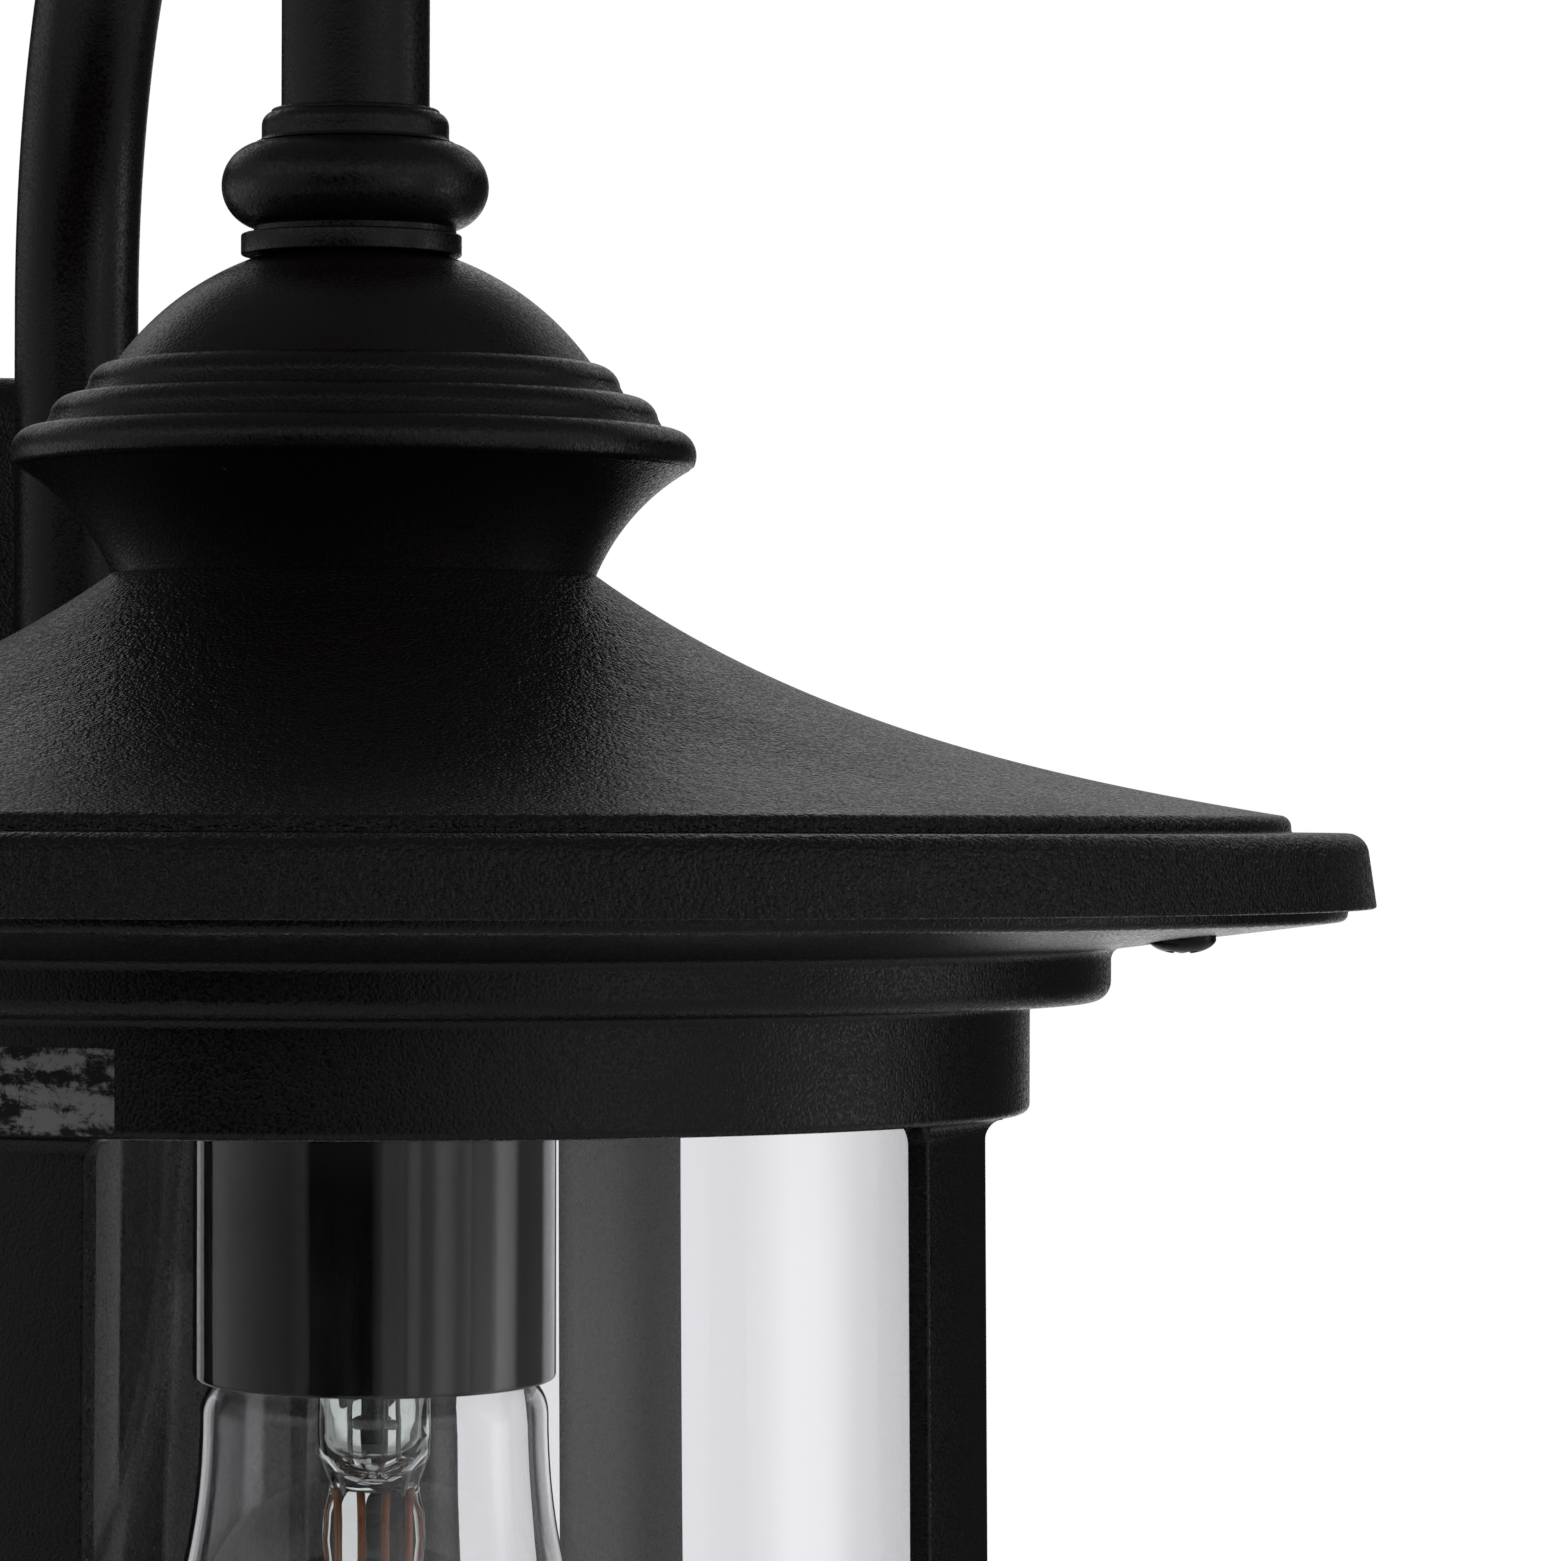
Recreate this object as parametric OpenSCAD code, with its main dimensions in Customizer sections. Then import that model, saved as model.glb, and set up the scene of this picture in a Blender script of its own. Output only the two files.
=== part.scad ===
// Gooseneck wall lantern: a bent tube arm carries a round roof, a four-bar cage with a clear
// glass cylinder, and an E27 lampholder with a clear bulb.
// Origin: centre of the wall plate, on the wall. +Z is up and the lantern stands out along -Y.

/* [Wall plate] */
// Width of the wall plate
plate_w = 132; // [126:1:150]
// Height of the wall plate
plate_h = 190; // [160:1:220]
// How far the plate's face stands off the wall
plate_d = 25; // [22:0.5:32]
// Wall thickness of the plate
plate_wall = 2.5; // [2:0.1:3.5]
// Radius of the plate's corners and front edges
plate_round = 6; // [4:0.5:8]
// Length of the mounting strap
strap_l = 118; // [114:1:119]
// Width of the mounting strap
strap_w = 20; // [16:1:26]
// Thickness of the mounting strap
strap_t = 2; // [1.5:0.1:3]
// Distance between the two wall screws
wall_spacing = 70; // [60:1:78]
// Width of the slots for the wall screws
slot_w = 5; // [4:0.1:6]
// Length of the slots for the wall screws
slot_l = 12; // [8:0.5:14]
// Distance between the studs that hold the plate
stud_spacing = 105; // [103:0.5:107]
// Diameter of the studs
stud_d = 4; // [3:0.1:5]

/* [Arm] */
// Outer diameter of the arm tube
tube_d = 16; // [15.6:0.1:17]
// Wall thickness of the arm tube
tube_wall = 1.5; // [1.4:0.1:1.7]
// Distance from the plate's face to the centre of the rear leg
arm_stand = 38; // [37:0.5:48]
// Radius of the bend at the foot
foot_bend = 25; // [20:0.5:25]
// Height where the rear leg starts to bend forward
leg_top = 101; // [80:1:115]
// Radius of the two large bends
bow_bend = 62; // [55:1:66]
// Distance between the rear leg and the lantern's axis
reach = 153; // [145:1:175]
// Straight length of the front leg
drop_len = 19; // [14:0.5:34]

/* [Threaded stem] */
// Diameter of the threaded stem and nipple
stem_d = 10; // [9:0.1:10.4]
// Diameter of the wire way through the stem
stem_bore = 8; // [6.5:0.1:8.2]
// Width across the flats of the stem nuts
nut_flats = 17; // [15:0.5:19]
// Height of the stem nuts
nut_h = 5; // [4:0.5:6]
// Thickness of the lock washers
lock_t = 0.8; // [0.5:0.1:1.2]
// Length of the threaded inserts in the tube ends
insert_l = 12; // [8:0.5:13]

/* [Knuckle and washer] */
// Height of the knuckle with its collar
knuckle_h = 13.5; // [12.5:0.1:16]
// Largest radius of the knuckle's bead
bead_r = 14; // [13:0.1:16]
// Height of the small collar above the bead
collar_h = 3.6; // [3:0.1:4.5]
// Radius of the small collar
collar_r = 10.1; // [9.6:0.1:11]
// Depth of the tube's socket in the knuckle
socket_l = 8; // [6:0.1:9]
// Radius of the flat washer
washer_r = 11.9; // [11:0.1:13]
// Thickness of the flat washer
washer_t = 2.3; // [1.5:0.1:3]

/* [Bell and cup] */
// Height of the bell
bell_h = 22.9; // [21:0.1:26]
// Radius of the bell's rim
bell_r = 36.9; // [35.5:0.1:40]
// Radius of the dome at its foot
dome_foot_r = 25.8; // [24:0.1:27]
// Radius of the flat on top of the bell
bell_top_r = 10; // [8:0.5:11]
// Radius of the dome's round
dome_r = 31.4; // [30:0.1:36]
// Radius of the rounded ripples
ripple_r = 2.7; // [2:0.1:3]
// Number of ripples, with the rim as the last
ripple_n = 3; // [2:1:4]
// Wall thickness of the bell and the cup
bell_wall = 2; // [1.5:0.1:2.5]
// Height of the neck cup
cup_h = 11.5; // [10:0.1:14]
// Radius of the neck cup's foot
cup_foot_r = 26.1; // [24:0.1:28]
// Radius of the cup's hollow flare
cup_flare = 24; // [18:0.5:30]

/* [Roof] */
// Radius of the roof at the bottom of its skirt
roof_r = 110; // [105:0.5:118]
// Height of the roof above its step
roof_rise = 26.1; // [22:0.1:32]
// Radius of the small step near the edge
step_r = 100.9; // [98:0.1:102]
// Height of the small step
step_h = 1.7; // [1.2:0.1:2.4]
// Height of the skirt below the step
skirt_h = 7.7; // [7:0.1:10]
// Radius of the skirt's upper corner
skirt_round = 2.4; // [1.5:0.1:3]
// Wall thickness of the roof
roof_wall = 2.5; // [2:0.1:3]

/* [Cage] */
// Turn of the cage from square to the wall, in degrees
cage_turn = 3.5; // [0:0.5:10]
// How far the flange shows below the skirt
flange_show = 1.4; // [0.8:0.1:2]
// Drop of the flange's cone from rim to step ring
flange_drop = 3; // [2:0.1:4]
// Radius of the step ring
ring_step_r = 81.7; // [79.5:0.1:84]
// Height of the step ring
ring_step_h = 5.7; // [5:0.1:7]
// Width of the ledge between the step ring and the glass ring
ring_ledge = 8.7; // [7.5:0.1:10]
// Height of the upper glass ring
ring_h = 12; // [9:0.1:16]
// Wall thickness of the casting
cage_wall = 2.8; // [2.4:0.1:3.2]
// Height of the window between the rings
window_h = 118; // [110:1:140]
// Height of the lower glass ring
base_h = 12; // [9:0.5:16]
// Width of a bar
bar_w = 15.8; // [12:0.1:18]
// Thickness of a bar
bar_t = 2.2; // [1.8:0.1:2.3]
// How far a bar's face stands behind the ring's face at the top
bar_inset = 2.3; // [2:0.1:2.5]
// Outward lean of the bars, in degrees
bar_lean = 0.5; // [0:0.1:0.6]
// Radius of the cast fillets at the bar ends
bar_fillet = 2.2; // [1:0.1:2.4]
// Radius on which the cage screws sit
screw_ring_r = 94; // [92:0.5:95]
// Azimuth of the first cage screw, in degrees
screw_turn = 51; // [45:1:60]
// Diameter of the cage screws' heads
screw_head_d = 7; // [6:0.1:8]
// Diameter of the cage screws
screw_d = 4; // [3:0.1:4.5]

/* [Glass] */
// Wall thickness of the glass rings
ring_wall = 4.8; // [4.4:0.1:6]
// Gap between the glass and its rings
glass_gap = 0.7; // [0.5:0.1:1]
// Wall thickness of the glass
glass_wall = 2.5; // [2:0.1:3]
// Thickness of the silicone seals
seal_t = 1; // [0.8:0.1:1.5]

/* [Lampholder] */
// How far the lampholder hangs off the axis
holder_shift = 2.5; // [0:0.1:3]
// Height of the lampholder from top to mouth
holder_h = 59.4; // [56:0.1:64]
// Radius of the lampholder's shroud
shroud_r = 19.7; // [19.4:0.1:21]
// Wall thickness of the shroud
shroud_wall = 1.5; // [1.2:0.1:1.6]
// Height of the lampholder's cap
holder_cap_h = 12.3; // [10:0.1:14]
// Distance from the bracket's top to its foot
bracket_h = 27; // [26:0.1:30]
// Width of the bracket
bracket_w = 20; // [16:0.5:22]
// Thickness of the bracket
bracket_t = 1.5; // [1.2:0.1:2]
// Wall thickness of the screw shell
shell_t = 0.6; // [0.4:0.1:0.8]

/* [Bulb] */
// Radius of the bulb's thread
bulb_cap_r = 13.1; // [12.9:0.1:13.2]
// Height of the bulb's metal cap
bulb_cap_h = 19; // [17:0.1:20]
// Length of the glass envelope
bulb_glass_l = 81.5; // [76:0.5:86]
// Largest radius of the envelope
bulb_r = 30; // [28:0.1:32]
// Radius of the envelope's neck
bulb_neck_r = 17.8; // [17:0.1:18.5]
// Wall thickness of the envelope
bulb_wall = 0.8; // [0.6:0.1:1.2]
// Number of filaments
filament_n = 4; // [2:1:6]

/* [Hidden] */
$fn = 96;

// Clearances
play = 0.1;             // between pieces that slide together
thread_play = 0.05;     // between a plain thread and its plain hole
bulb_play = 0.3;        // between the bulb's cap and the screw shell
seam = 0.3;             // between the flange and the roof's skirt
clearance_gap = 1;      // between the glass clips and the step ring's wall

// Places along Y
stem_r = stem_d / 2;
tube_r = tube_d / 2;
leg_y = -(plate_d + arm_stand);
axis_y = leg_y - reach;

// The bow's straight rises 3 for every 4 forward
bow_sin = 0.8;
bow_cos = 0.6;
bow_a = atan2(bow_sin, bow_cos);
bow_l = (reach - 2 * bow_bend) / bow_sin;
drop_top = leg_top + bow_l * bow_cos;

// Heights, from the tube's end downwards
drop_end = drop_top - drop_len;
knuckle_z = drop_end + socket_l - knuckle_h;
washer_z = knuckle_z - washer_t;
bell_z = washer_z - bell_h;
cup_z = bell_z - cup_h;
eave_z = cup_z - roof_rise;
ledge_z = eave_z - step_h;
skirt_z = ledge_z - skirt_h;
roof_in_z = cup_z - roof_wall;
ledge_in_z = ledge_z - roof_wall;
skirt_in_r = roof_r - 2.7;
flange_r = skirt_in_r - seam;
flange_z = skirt_z - flange_show;
cone_z = flange_z - flange_drop;
step_ring_z = cone_z - ring_step_h;
ring_z = step_ring_z - ring_h;
base_top_z = ring_z - window_h;
base_z = base_top_z - base_h;
ring_r = ring_step_r - ring_ledge;
ring_in_r = ring_r - ring_wall;
glass_r = ring_in_r - glass_gap;
lip_t = 3;
lip_r = glass_r - 4;
shelf_z = step_ring_z + cage_wall;
glass_z = base_z + lip_t + seal_t;
glass_top_z = shelf_z - seal_t;
glass_in_r = glass_r - glass_wall;

// Lampholder and bulb heights
bracket_z = roof_in_z - bracket_h;
holder_top_z = bracket_z;
mouth_z = holder_top_z - holder_h;
cap_seam_z = holder_top_z - holder_cap_h;
shell_r = bulb_cap_r + bulb_play;
bulb_rim_z = mouth_z + 2.6;
bulb_insulator_h = 4.6;
bulb_tip_h = 1.6;
bulb_cap_top_z = bulb_rim_z + bulb_cap_h;
bulb_top_z = bulb_cap_top_z + bulb_insulator_h + bulb_tip_h;
contact_t = 0.5;
contact_z = bulb_top_z + 0.3;
core_floor_z = contact_z + contact_t;

// Wall side
earth_r = 2;
earth_z = 4;
cap_nut_flats = 7;
cap_nut_h = 4;
block_w = 30;
block_h = 16;
block_d = 15;
block_z = -plate_h / 2 + 26;
block_y0 = -(plate_d - plate_wall);
pole_pitch = 9;
wire_y = block_y0 + 11;

// Arm: its foot, and the centres of the two large bends
ferrule_h = 7;
ferrule_lip = 2;
foot_y = -plate_d - ferrule_lip;
nipple_in = 8;
bow_c1 = [leg_y - bow_bend, leg_top];
bow_c2 = [axis_y + bow_bend, drop_top];

// Stem stack under the roof
stem_lock_z = roof_in_z - bracket_t - lock_t;
stem_nut_z = stem_lock_z - nut_h;

// Bell: the dome stands on rounded ripples that step outwards to the rim
dome_c = [0, bell_h - sqrt(dome_r * dome_r - bell_top_r * bell_top_r)];
dome_foot_z = dome_c[1] + sqrt(dome_r * dome_r - dome_foot_r * dome_foot_r);
ripple_c0 = [dome_foot_r + 0.2, dome_foot_z - ripple_r + 0.1];
ripple_c1 = [bell_r - ripple_r, 1.5];
bell_in_r = bell_r - ripple_r + 0.4;

// Roof bosses and glass clips
roof_top_r = cup_foot_r;
boss_r = 4.5;
screw_bite = 6;
clip_screw_r = 1.5;
clip_n = 3;
clip_t = 0.8;
clip_r = (ring_step_r - cage_wall + ring_in_r) / 2 + clearance_gap / 2;
clip_out = (ring_step_r - cage_wall - ring_in_r) / 2 - clearance_gap - clearance_gap / 2;
clip_bite = 0.6;

// Inside the lampholder and the bulb
holder_screw_x = 11;
holder_screw_r = 1.5;
bracket_back = 17;
core_r = shroud_r - shroud_wall - play;
core_bore = shell_r + shell_t + play;
contact_r = 5;
insulator_r = 9.4;
tip_r = 4.7;
stem_tube_r = 6.2;
stem_end = -36;
filament_r = 1.1;
filament_top = [4.4, -29];
filament_low = [9.5, -58];

// Lead
lead_r = 2.5;
lead_bend = 6;
lead_start_z = block_z + block_h + 8;
core_wire_r = 1.1;

function arc(c, r, a0, a1, n = 8) =
    [for (i = [0:n]) let (a = a0 + (a1 - a0) * i / n) c + r * [cos(a), sin(a)]];
function curve(p0, p1, p2, p3, n = 16) =
    [for (i = [0:n]) let (t = i / n, u = 1 - t)
        u * u * u * p0 + 3 * u * u * t * p1 + 3 * u * t * t * p2 + t * t * t * p3];
// Arc of radius r from p to q, bulging to the left of the way from p to q
function arc_between(p, q, r, n = 12) =
    let (d = q - p, h = norm(d) / 2, m = (p + q) / 2,
        c = m + sqrt(r * r - h * h) * [d[1], -d[0]] / (2 * h),
        a0 = atan2(p[1] - c[1], p[0] - c[0]), a1 = atan2(q[1] - c[1], q[0] - c[0]))
    arc(c, r, a0, a1, n);
// Points moved sideways by w, to the right of the way along the list
function beside(pts, w) =
    [for (i = [0:len(pts) - 1])
        let (a = pts[max(i - 1, 0)], b = pts[min(i + 1, len(pts) - 1)], t = (b - a) / norm(b - a))
        pts[i] + w * [t[1], -t[0]]];
function turned(pts) = [for (i = [len(pts) - 1:-1:0]) pts[i]];
function lifted(pts, z) = [for (p = pts) [p[0], p[1] + z]];

module at_axis() translate([0, axis_y, 0]) children();
module at_holder() translate([holder_shift, axis_y, 0]) children();
module lathe(pts) rotate_extrude() polygon(pts);
module ring(r_out, r_in, z0, z1) lathe([[r_in, z0], [r_out, z0], [r_out, z1], [r_in, z1]]);
// A cylinder along -Y that starts at y0
module along_y(r, y0, y1, x = 0, z = 0)
    translate([x, y0, z]) rotate([90, 0, 0]) cylinder(r = r, h = y0 - y1);
module hex_nut(flats, h, bore)
    difference() {
        cylinder(r = flats / sqrt(3), h = h, $fn = 6);
        translate([0, 0, -1]) cylinder(r = bore, h = h + 2);
    }

// Wall side

// A cast box that is open to the wall, with its corners and front edges rounded
module round_box(w, h, d, r) {
    x = w / 2 - r;
    z = h / 2 - r;
    translate([-x, -d, -z]) cube([2 * x, d, 2 * z]);
    translate([-w / 2, -(d - r), -z]) cube([w, d - r, 2 * z]);
    translate([-x, -(d - r), -h / 2]) cube([2 * x, d - r, h]);
    for (sx = [-1, 1]) {
        translate([sx * x, -(d - r), -z]) cylinder(r = r, h = 2 * z);
        for (sz = [-1, 1]) {
            along_y(r, 0, -(d - r), sx * x, sz * z);
            translate([sx * x, -(d - r), sz * z]) sphere(r = r);
        }
    }
    for (sz = [-1, 1])
        translate([-x, -(d - r), sz * z]) rotate([0, 90, 0]) cylinder(r = r, h = 2 * x);
}

module wall_plate()
    color([0.07, 0.07, 0.075])
    difference() {
        round_box(plate_w, plate_h, plate_d, plate_round);
        translate([0, 1, 0])
            round_box(plate_w - 2 * plate_wall, plate_h - 2 * plate_wall, plate_d - plate_wall + 1,
                plate_round - plate_wall);
        along_y(stem_r + play, 1, -plate_d - 1);
        for (s = [-1, 1]) along_y(stud_d / 2 + 2 * play, 1, -plate_d - 1, s * stud_spacing / 2);
    }

module mounting_strap()
    color([0.72, 0.73, 0.74])
    difference() {
        translate([-strap_l / 2, -strap_t, -strap_w / 2]) cube([strap_l, strap_t, strap_w]);
        for (s = [-1, 1]) translate([s * wall_spacing / 2, 0, 0]) {
            run = (slot_l - slot_w) / 2;
            for (e = [-1, 1]) along_y(slot_w / 2, 1, -strap_t - 1, e * run);
            translate([-run, -strap_t - 1, -slot_w / 2]) cube([2 * run, strap_t + 2, slot_w]);
        }
        for (s = [-1, 1]) along_y(stud_d / 2 + thread_play, 1, -strap_t - 1, s * stud_spacing / 2);
        along_y(earth_r + thread_play, 1, -strap_t - 1, 0, earth_z);
    }

module plate_studs()
    color([0.72, 0.73, 0.74])
    for (s = [-1, 1]) along_y(stud_d / 2, 0, -plate_d - cap_nut_h, s * stud_spacing / 2);

module cap_nuts()
    color([0.08, 0.08, 0.085])
    for (s = [-1, 1])
        translate([s * stud_spacing / 2, -plate_d, 0]) rotate([90, 0, 0])
            difference() {
                union() {
                    cylinder(r = cap_nut_flats / sqrt(3) * stud_d / 4, h = cap_nut_h, $fn = 6);
                    translate([0, 0, cap_nut_h]) sphere(r = cap_nut_flats / 2 * stud_d / 4 - 0.2);
                }
                translate([0, 0, -1]) cylinder(r = stud_d / 2 + thread_play, h = cap_nut_h + 1.5);
            }

module earth_screw()
    color([0.8, 0.65, 0.3]) {
        along_y(earth_r, 0, -strap_t, 0, earth_z);
        difference() {
            along_y(earth_r * 2, -strap_t, -strap_t - 2.4, 0, earth_z);
            translate([-earth_r * 2, -strap_t - 3, earth_z - 0.4]) cube([earth_r * 4, 1.8, 0.8]);
        }
    }

module terminal_block()
    color([0.9, 0.89, 0.85])
    difference() {
        translate([-block_w / 2, block_y0, block_z]) cube([block_w, block_d, block_h]);
        for (i = [-1:1]) translate([i * pole_pitch, 0, 0]) {
            translate([0, wire_y, block_z - 1]) cylinder(r = 1.6, h = block_h + 2);
            along_y(1.8, block_y0 + block_d + 1, wire_y, 0, block_z + block_h / 2);
        }
    }

module terminal_screws()
    color([0.75, 0.75, 0.72])
    for (i = [-1:1])
        difference() {
            along_y(1.8 - thread_play, block_y0 + block_d - 0.8, wire_y + 1.2, i * pole_pitch,
                block_z + block_h / 2);
            translate([i * pole_pitch - 1.5, block_y0 + block_d - 1.6, block_z + block_h / 2 - 0.3])
                cube([3, 2, 0.6]);
        }

// Arm

// Stretches of tube, each drawn along its own axis or round its bend's centre
module tube_end() difference() {
    circle(r = tube_r);
    circle(r = tube_r - tube_wall);
}
module tube_bend(r, angle) rotate_extrude(angle = angle) translate([r, 0]) tube_end();
module in_arm_plane(c) translate([0, c[0], c[1]]) rotate([90, 0, 90]) children();

// The bow: two bends that are cut where the straight between them begins and ends
module bow() {
    far = bow_bend + tube_d;
    in_arm_plane(bow_c1) difference() {
        tube_bend(bow_bend, 90);
        rotate([0, 0, bow_a]) translate([0, 0, -tube_d]) cube([far, far, 2 * tube_d]);
    }
    translate([0, bow_c1[0] + bow_bend * bow_cos, bow_c1[1] + bow_bend * bow_sin])
        rotate([bow_a, 0, 0]) linear_extrude(bow_l) tube_end();
    in_arm_plane(bow_c2) difference() {
        tube_bend(bow_bend, 180);
        rotate([0, 0, bow_a]) translate([0, -far, -tube_d]) cube([far, far, 2 * tube_d]);
    }
}

module arm_tube()
    color([0.06, 0.06, 0.065]) {
        translate([0, foot_y, 0]) rotate([90, 0, 0]) linear_extrude(foot_y - leg_y - foot_bend)
            tube_end();
        in_arm_plane([leg_y + foot_bend, foot_bend]) rotate([0, 0, 180]) tube_bend(foot_bend, 90);
        translate([0, leg_y, foot_bend]) linear_extrude(leg_top - foot_bend) tube_end();
        bow();
        translate([0, axis_y, drop_end]) linear_extrude(drop_len) tube_end();
    }

module tube_inserts()
    color([0.7, 0.7, 0.7]) {
        at_axis() ring(tube_r - tube_wall - thread_play, stem_r + thread_play, drop_end,
            drop_end + insert_l);
        translate([0, foot_y, 0]) rotate([90, 0, 0])
            ring(tube_r - tube_wall - thread_play, stem_r + thread_play, 0, insert_l);
    }

// Turned foot of the arm: a socket for the tube with a rounded shoulder
module arm_ferrule()
    color([0.06, 0.06, 0.065])
    translate([0, -plate_d, 0]) rotate([90, 0, 0])
        lathe(concat(
            [[stem_r + play, 0], [tube_r + 7, 0]],
            arc([tube_r + 5, 2], 2, 0, 90, 6),
            arc_between([tube_r + 3.5, 4], [tube_r + 1.8, ferrule_h - 1], 3, 5),
            [[tube_r + 1.2, ferrule_h], [tube_r + play, ferrule_h], [tube_r + play, ferrule_lip],
                [stem_r + play, ferrule_lip]]));

module foot_nipple()
    color([0.75, 0.75, 0.74])
    translate([0, -plate_d + plate_wall + nipple_in, 0]) rotate([90, 0, 0])
        ring(stem_r, stem_bore / 2, 0, plate_wall + nipple_in + ferrule_lip + insert_l - 2);

module foot_lock_washer()
    color([0.75, 0.75, 0.74])
    translate([0, -plate_d + plate_wall + lock_t, 0]) rotate([90, 0, 0])
        ring(nut_flats / 2, stem_r + play, 0, lock_t);

module foot_nut()
    color([0.75, 0.75, 0.74])
    translate([0, -plate_d + plate_wall + lock_t + nut_h, 0]) rotate([90, 0, 0])
        hex_nut(nut_flats, nut_h, stem_r + thread_play);

// Stack above the roof

// Turned knuckle: collar with a rounded shoulder, then a flattened bead
module knuckle() {
    bead_h = (knuckle_h - collar_h - 0.5) / 2;
    bead_c = [bead_r - bead_h, knuckle_z + 0.5 + bead_h];
    top = knuckle_z + knuckle_h;
    color([0.06, 0.06, 0.065])
    at_axis() lathe(concat(
        [[stem_r + play, knuckle_z], [bead_c[0] + 1.2, knuckle_z]],
        arc(bead_c, bead_h, -75, 90, 16),
        [[collar_r, top - collar_h]],
        arc([collar_r - 1.5, top - 1.8], 1.5, 0, 70, 5),
        [[tube_r + 0.5, top], [tube_r + play, top], [tube_r + play, drop_end],
            [stem_r + play, drop_end]]));
}

module stem_washer()
    color([0.06, 0.06, 0.065])
    at_axis() ring(washer_r, stem_r + play, washer_z, washer_z + washer_t);

// Bell: a dome on rounded ripples that step outwards to the rim
function ripple_c(i) = ripple_c0 + (ripple_c1 - ripple_c0) * i / (ripple_n - 1);

module bell_cap() {
    outside = concat(
        [[stem_r + play, bell_h]],
        arc(dome_c, dome_r, 90 - asin(bell_top_r / dome_r), acos(dome_foot_r / dome_r), 14),
        [for (i = [0:ripple_n - 1]) each
            arc(ripple_c(i), ripple_r, i == 0 ? 85 : 112, i < ripple_n - 1 ? 0 : -25, 9)],
        [[bell_r - 0.7, 0]]);
    inside = concat(
        [[bell_in_r, 0], [bell_in_r - 0.6, 1.5], [dome_foot_r - bell_wall, dome_foot_z - ripple_r]],
        arc(dome_c, dome_r - bell_wall, acos((dome_foot_r - bell_wall) / (dome_r - bell_wall)),
            90 - asin(bell_top_r / dome_r), 12),
        [[stem_r + play, bell_h - bell_wall]]);
    color([0.065, 0.065, 0.07])
    at_axis() lathe(lifted(concat(outside, inside), bell_z));
}

// Cup: a hollow flare between the roof and the bell's rim
module neck_cup() {
    flare = arc_between([cup_foot_r, 0], [bell_r - 0.7, cup_h], cup_flare, 12);
    color([0.065, 0.065, 0.07])
    at_axis() lathe(lifted(concat(
        [[stem_r + play, 0]], flare,
        [[bell_r - 0.7 - bell_wall, cup_h]],
        turned([for (p = flare) if (p[1] > bell_wall && p[1] < cup_h - 1) p - [bell_wall, 0]]),
        [[cup_foot_r - bell_wall, bell_wall], [stem_r + play, bell_wall]]), cup_z));
}

// Roof: a cast shell, hollow between its top and the step, with a rounded skirt
roof_sweep = curve([roof_top_r, roof_rise], [roof_top_r + 21, roof_rise - 15],
    [step_r - 29, 4.4], [step_r - 0.9, 0], 22);

module roof() {
    corner = [roof_r - 1 - skirt_round, ledge_z - eave_z - skirt_round];
    boss_z = flange_top(screw_ring_r + boss_r);
    color([0.07, 0.07, 0.075])
    at_axis() difference() {
        union() {
            lathe(lifted(concat(
                [[stem_r + play, roof_rise]],
                roof_sweep,
                arc([step_r - 0.9, -0.8], 0.8, 60, 0, 3),
                [[step_r, -step_h]],
                arc(corner, skirt_round, 90, 0, 6),
                [[roof_r, skirt_z - eave_z], [skirt_in_r, skirt_z - eave_z],
                    [skirt_in_r, ledge_in_z - eave_z], [step_r - 2, ledge_in_z - eave_z],
                    [step_r - 2, -roof_wall - 0.2]],
                turned([for (p = roof_sweep) if (p[0] > roof_top_r + 2 && p[0] < step_r - 4)
                    p - [1, roof_wall]]),
                [[roof_top_r - 1, roof_rise - roof_wall], [stem_r + play, roof_rise - roof_wall]]),
                eave_z));
            screw_places() translate([0, 0, boss_z]) cylinder(r = boss_r, h = eave_z - boss_z);
        }
        screw_places() translate([0, 0, boss_z - 1])
            cylinder(r = screw_d / 2 + thread_play, h = screw_bite + 1);
    }
}

module stem_rod()
    color([0.75, 0.75, 0.74])
    at_axis() ring(stem_r, stem_bore / 2, stem_nut_z - 2, drop_end + insert_l - 2);

module stem_lock_washer()
    color([0.75, 0.75, 0.74])
    at_axis() ring(nut_flats / 2, stem_r + play, stem_lock_z, stem_lock_z + lock_t);

module stem_nut()
    color([0.75, 0.75, 0.74])
    at_axis() translate([0, 0, stem_nut_z]) hex_nut(nut_flats, nut_h, stem_r + thread_play);

// Cage

// Height of the flange's upper and lower cone at radius r
function flange_low(r) = cone_z + flange_drop * (r - ring_step_r) / (flange_r - 0.8 - ring_step_r);
function flange_top(r) = flange_low(r) + cage_wall;

module screw_places()
    for (i = [0:2]) rotate([0, 0, screw_turn + 120 * i]) translate([0, -screw_ring_r, 0]) children();

// Concave corner fillet in the plane of two edges that meet at the origin
module corner_fillet(r) polygon(concat([[0, 0]], arc([r, r], r, 180, 270, 6)));

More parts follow.
